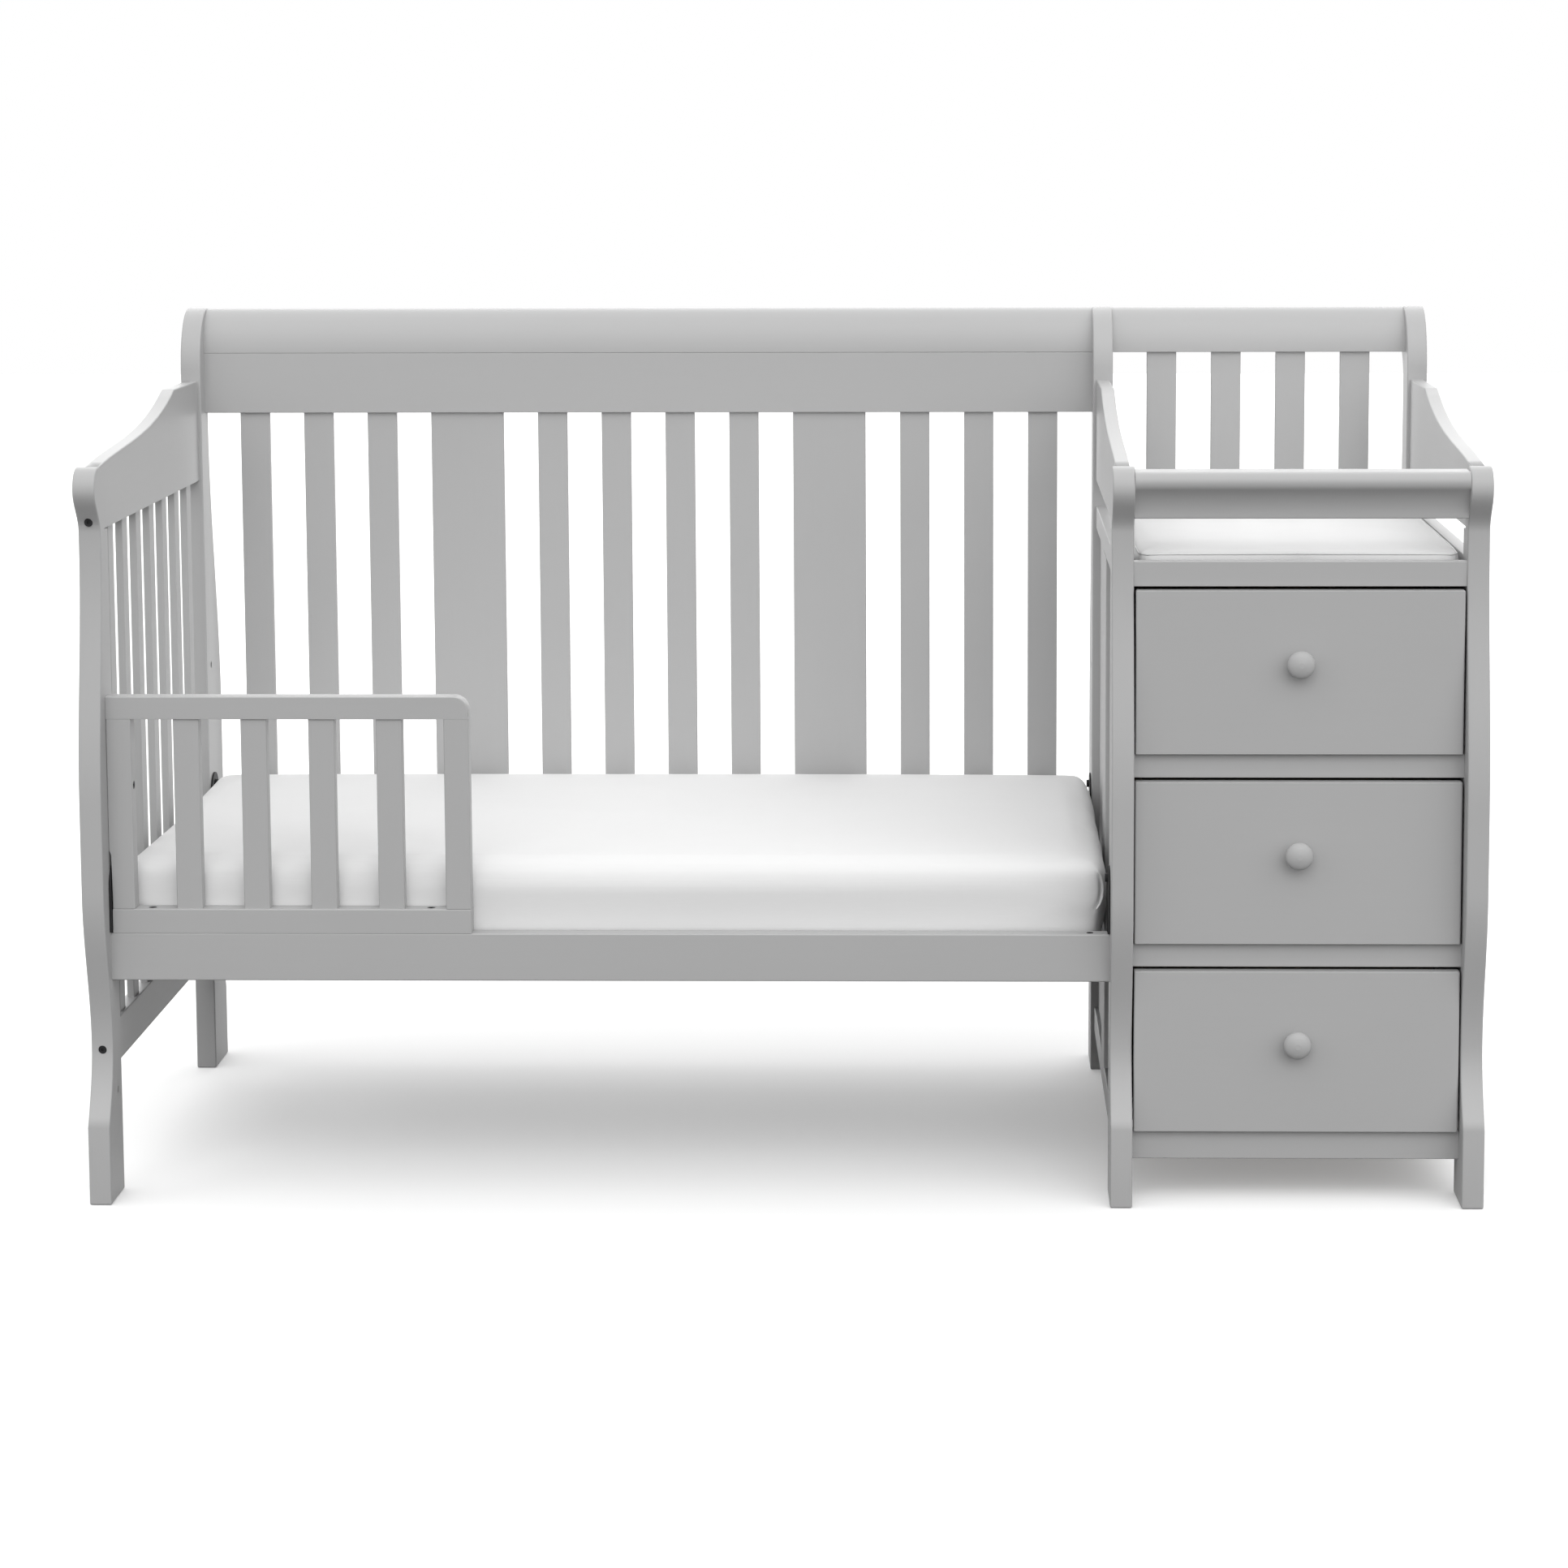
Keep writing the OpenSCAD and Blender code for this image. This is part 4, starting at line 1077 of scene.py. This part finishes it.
    @staticmethod
    def _rows(mesh: bpy.types.Mesh, what: str = "co") -> np.ndarray:
        """What a mesh has at its points, as rows of x, y and z.

        Args:
            mesh: the mesh.
            what: co for the places, or normal.

        Returns:
            A row for each point.
        """
        flat = np.zeros(len(mesh.vertices) * 3)
        mesh.vertices.foreach_get(what, flat)
        return flat.reshape(-1, 3)

    @staticmethod
    def _set_points(mesh: bpy.types.Mesh, points: np.ndarray) -> None:
        """Writes rows of x, y and z back to a mesh."""
        mesh.vertices.foreach_set("co", np.ascontiguousarray(points, dtype=np.float64).ravel())
        mesh.update()

    @staticmethod
    def add_roll(piece: Shape, line: list[Vector], radii: list[float], closed: bool) -> None:
        """Adds a rolled edge of cloth, a tube of changing radius, to the cover's mesh.

        Args:
            piece: the cover.
            line: the middle of the roll.
            radii: its radius at each point.
            closed: whether it ends where it starts.
        """
        sides, count = 10, len(line)
        turns = [2 * math.pi * side / sides for side in range(sides)]
        work = bmesh.new()
        work.from_mesh(piece.data)
        rings = []
        across = (line[1] - line[0]).orthogonal()
        for i, (place, radius) in enumerate(zip(line, radii)):
            ahead = line[(i + 1) % count] if closed or i < count - 1 else place
            behind = line[i - 1] if closed or i > 0 else place
            along = (ahead - behind).normalized()
            across = (across - along * across.dot(along)).normalized()
            other = along.cross(across)
            rings.append([
                work.verts.new(place + (across * math.cos(t) + other * math.sin(t)) * radius) for t in turns
            ])
        skin(work, rings, closed)
        bmesh.ops.recalc_face_normals(work, faces=work.faces)
        work.to_mesh(piece.data)
        work.free()

    def place(self, piece: Shape, finish: object, finishes: Finishes) -> None:
        """Dresses the cover and puts it in the node's place.

        Args:
            piece: the finished cover.
            finish: its finish.
            finishes: where that is made.
        """
        for face in piece.data.polygons:
            face.use_smooth = True
        piece.data.update()
        finishes.on(piece, finish)
        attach(piece, Body.FRAME.value)
        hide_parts(self.node)
        LOG.info("%s: %d faces", piece.name, len(piece.data.polygons))


@dataclass
class Mattress(Assembly):
    """The crib mattress in its fitted sheet, which is gathered and folded over at the corners."""

    soft: StuffedBlock = field(
        default_factory=lambda: StuffedBlock(
            node="mattress", front_corner=0.019, rear_corner=0.030, edge=0.018, crown=0.002, draw=0.0008,
            voxel=0.009, shrink=0.0030, pressure=0.3, cap=0.005, clear=0.0003, proud=0.0030, fill=0.8,
            room=(0.0, 0.0045), room_run=0.08,
        )
    )
    waist: float = 0.55
    tuck: float = 0.008
    gather_reach: float = 0.050
    gather_depth: float = 0.0045
    gather_drop: float = 0.066
    gather_soft: float = 0.03
    fold_top: float = 0.008
    fold_length: float = 0.058
    fold_turn: tuple[float, float] = (30.0, 76.0)
    fold_radius: float = 0.0016
    fold_end: float = 0.0004
    fold_steps: int = 30
    crease_back: float = 18.0
    crease_depth: float = 0.0022
    crease_width: float = 0.0045
    refined: tuple[float, ...] = (0.055, 0.038)

    def gather(self, points: np.ndarray) -> np.ndarray:
        """Tucks the sheet in toward the bottom, and draws it in at the lower part of its four corners.

        Args:
            points: the cover's points.

        Returns:
            The moved points.
        """
        low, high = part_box(self.soft.node)
        out = points.copy()
        middle = np.array((low + high).xy) / 2
        half = np.array((high - low).xy) / 2
        under = np.clip(1 - (out[:, 2] - low.z) / ((high.z - low.z) * self.waist), 0.0, 1.0) ** 1.5
        out[:, :2] = middle + (out[:, :2] - middle) * (1 - self.tuck * under[:, None] / half)
        side = np.sign(out[:, :2] - middle)
        corner = np.where(side > 0, np.array(high.xy), np.array(low.xy))
        away = np.abs(out[:, :2] - corner).max(axis=1)
        near = np.exp(-((away / self.gather_reach) ** 2))
        below = np.clip((high.z - self.gather_drop - out[:, 2]) / self.gather_soft + 0.5, 0.0, 1.0)
        below = below * below * (3 - 2 * below)
        out[:, :2] -= side * (near * below * self.gather_depth)[:, None]
        return out

    def fold_line(self, cover: Shape, corner: int, back: float) -> list[Vector]:
        """Where the sheet folds over itself, as a bow down a corner.

        Args:
            cover: the mattress cover.
            corner: 0 to 3, from the right rear corner round by the left.
            back: degrees that the line lies behind the fold, toward the long side.

        Returns:
            Points on the cover, from the top down.
        """
        low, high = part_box(self.soft.node)
        rear, right = corner < 2, corner in (0, 3)
        radius = self.soft.rear_corner if rear else self.soft.front_corner
        toward_x, toward_y = (1.0 if right else -1.0), (1.0 if rear else -1.0)
        x = (high.x if right else low.x) - toward_x * radius
        y = (high.y if rear else low.y) - toward_y * radius
        line = []
        for step in range(self.fold_steps):
            u = step / (self.fold_steps - 1)
            least, most = self.fold_turn
            turn = math.radians(least + (most - least) * math.sin(math.pi * u) ** 0.8 - back)
            aim = Vector((
                x + toward_x * radius * math.sin(turn), y + toward_y * radius * math.cos(turn),
                high.z - self.fold_top - self.fold_length * u,
            ))
            found, place, _, _ = cover.closest_point_on_mesh(aim)
            line.append(place.copy() if found else aim)
        for _ in range(4):
            inner = [(a + 2 * b + c) / 4 for a, b, c in zip(line, line[1:], line[2:])]
            line = [line[0], *inner, line[-1]]
        return line

    def build(self, finishes: Finishes) -> list[Shape]:
        """Builds the mattress.

        Args:
            finishes: the finishes.

        Returns:
            The sheeted mattress.
        """
        cover = self.soft.cover(self.gather)
        for reach in self.refined:
            self.soft.refine_corners(cover, reach)
        folds, creases = ([self.fold_line(cover, i, back) for i in range(4)] for back in (0.0, self.crease_back))
        self.soft.crease(cover, creases, self.crease_depth, self.crease_width)
        for fold in folds:
            swell = [math.sin(math.pi * (i + 0.5) / len(fold)) ** 0.6 for i in range(len(fold))]
            self.soft.add_roll(cover, fold, [self.fold_end + self.fold_radius * s for s in swell], False)
        self.soft.place(cover, finishes.cotton, finishes)
        return [cover]


@dataclass
class ChangingPad(Assembly):
    """The changing pad in its coated cover, with a welt round the top."""

    soft: StuffedBlock = field(
        default_factory=lambda: StuffedBlock(
            node="changing_pad", front_corner=0.021, rear_corner=0.021, edge=0.0065, crown=0.0020, draw=0.001,
            voxel=0.006, shrink=0.0018, pressure=0.35, cap=0.003, clear=0.0008, proud=0.0, fill=0.75,
            room=(0.0045, 0.0045), room_run=0.06,
        )
    )
    tuck: float = 0.0012
    tuck_reach: float = 0.07
    tuck_soft: float = 0.01
    tucks: float = 10.0
    welt_radius: float = 0.0010
    welt_drop: float = 0.0056
    welt_sunk: float = 0.0008

    def pull(self, points: np.ndarray) -> np.ndarray:
        """Soft pulls in the cover toward its corners.

        Args:
            points: the cover's points.

        Returns:
            The moved points.
        """
        low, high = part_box(self.soft.node)
        out = points.copy()
        span = np.array((high - low).xy)
        u = (out[:, :2] - np.array(low.xy)) / span
        edge = np.minimum(u, 1 - u) * span
        near = np.exp(-((edge.max(axis=1) / self.tuck_reach) ** 2))
        top = np.clip((out[:, 2] - low.z) / (high.z - low.z) * 1.6 - 0.4, 0, 1)
        turn = np.arctan2(edge[:, 1] + self.tuck_soft, edge[:, 0] + self.tuck_soft)
        out[:, 2] -= near * top * self.tuck * (1 + np.cos(turn * self.tucks))
        return out

    def build(self, finishes: Finishes) -> list[Shape]:
        """Builds the pad.

        Args:
            finishes: the finishes.

        Returns:
            The covered pad.
        """
        cover = self.soft.cover(self.pull)
        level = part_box(self.soft.node)[1].z - self.welt_drop
        welt = []
        for q in self.soft.outline(self.soft.clear + self.welt_radius, self.soft.draw):
            aim = Vector((q.x, q.y, level))
            found, seam, _, _ = cover.closest_point_on_mesh(aim)
            away = (aim - seam) if found else Vector()
            welt.append(seam + away.normalized() * min(away.length, self.welt_sunk) if found else aim)
        self.soft.add_roll(cover, welt, [self.welt_radius] * len(welt), True)
        self.soft.place(cover, finishes.cover, finishes)
        return [cover]


# ---- Studio ----


@dataclass
class Lamp:
    """A wide soft light from one direction."""

    name: str
    strength: float
    azimuth: float
    elevation: float
    angle: float
    away: float = 4.0

    def build(self) -> None:
        """Hangs the lamp. Azimuth 0 is in front of the crib and 90 is at its right."""
        data = bpy.data.lights.new(self.name, "SUN")
        data.energy = self.strength
        data.angle = math.radians(self.angle)
        lamp = bring_in(self.name, data)
        turn, rise = math.radians(self.azimuth), math.radians(self.elevation)
        toward = Vector((math.sin(turn) * math.cos(rise), -math.cos(turn) * math.cos(rise), math.sin(rise)))
        lamp.rotation_mode = "QUATERNION"
        lamp.rotation_quaternion = toward.to_track_quat("Z", "Y")
        lamp.location = toward * self.away


@dataclass
class Studio:
    """The white floor and background, the soft light, and the photograph's camera."""

    eye: Point = (0.2228, -5.293, 1.4446)
    lens: float = 87.627
    sensor: float = 36.0
    pitch: float = -6.694
    yaw: float = -1.139
    roll: float = -0.155
    shift: tuple[float, float] = (-0.06, -0.15)
    clip: float = 100.0
    sky: float = 0.61
    floor_seen: float = 0.82
    floor_glow: float = 0.24
    floor_bounce: float = 0.07
    floor_size: float = 30.0
    floor_under: float = 0.0005
    lamps: tuple[Lamp, ...] = (
        Lamp("front", 1.05, 0.0, 32.0, 50.0),
        Lamp("right_front", 0.58, 45.0, 25.0, 50.0),
        Lamp("left_side", 0.40, -80.0, 22.0, 70.0),
        Lamp("right_side", 0.15, 80.0, 22.0, 70.0),
        Lamp("overhead", 1.05, 0.0, 86.0, 100.0),
        Lamp("behind", 1.65, 180.0, 18.0, 70.0),
    )

    def build(self) -> None:
        """Sets up everything that isn't part of the crib."""
        self._camera()
        self._background()
        self._floor()
        for lamp in self.lamps:
            lamp.build()
            LOG.info("lamp %s", lamp.name)
        bpy.context.scene.view_settings.view_transform = "Standard"

    def _camera(self) -> None:
        """The camera, turned by its yaw, pitch and roll in degrees."""
        data = bpy.data.cameras.new("camera")
        data.lens, data.sensor_width = self.lens, self.sensor
        data.shift_x, data.shift_y = self.shift
        data.clip_end = self.clip
        camera = bring_in("camera", data)
        yaw, pitch, roll = (math.radians(a) for a in (self.yaw, self.pitch, self.roll))
        ahead = Vector((math.sin(yaw) * math.cos(pitch), math.cos(yaw) * math.cos(pitch), math.sin(pitch)))
        right = Vector((math.cos(yaw), -math.sin(yaw), 0.0))
        up = right.cross(ahead)
        level = right * math.cos(roll) + up * math.sin(roll)
        crown = up * math.cos(roll) - right * math.sin(roll)
        turned = Matrix((level, crown, -ahead)).transposed().to_4x4()
        camera.matrix_world = Matrix.Translation(Vector(self.eye)) @ turned
        bpy.context.scene.camera = camera

    def _background(self) -> None:
        """Soft grey light from all round, which the camera and reflections see as white."""
        recipe = Recipe("studio", "World")
        values = {"Color": WHITE, "Strength": recipe.range(recipe.seen(), self.sky, 1.0)}
        bpy.context.scene.world = recipe.finish("ShaderNodeBackground", values)

    def _floor(self) -> None:
        """A plain white floor that keeps the crib's shadow."""
        half = self.floor_size / 2
        mesh = bpy.data.meshes.new("floor")
        mesh.from_pydata([(-half, -half, 0), (half, -half, 0), (half, half, 0), (-half, half, 0)], [], [(0, 1, 2, 3)])
        floor = bring_in("floor", mesh)
        floor.location.z = -self.floor_under
        recipe = Recipe("studio_floor")
        seen = recipe.seen()
        tone = recipe.tones(seen, ((0.0, (self.floor_bounce,) * 3), (1.0, (self.floor_seen,) * 3)))
        values = {
            "Base Color": tone, "Roughness": 0.9, "Specular IOR Level": 0.0,
            "Emission Color": WHITE, "Emission Strength": recipe.range(seen, 0.0, self.floor_glow),
        }
        mesh.materials.append(recipe.finish("ShaderNodeBsdfPrincipled", values))


def main() -> None:
    """Builds and dresses every group of pieces, then the studio."""
    logging.basicConfig(level=logging.INFO, format="%(name)s: %(message)s")
    finishes = Finishes()
    Studio().build()
    groups: list[Assembly] = [
        Posts(), EndsAndSides(), Backs(), FrontAndGuard(), Mattress(), ChangerFront(), ChangingPad(),
        *(Drawer(body) for body in (Body.BOTTOM, Body.MIDDLE, Body.TOP)), Fittings(),
    ]
    for group in groups:
        made = group.build(finishes)
        LOG.info("%s: %d new pieces", type(group).__name__, len(made))


if __name__ == "__main__":
    main()
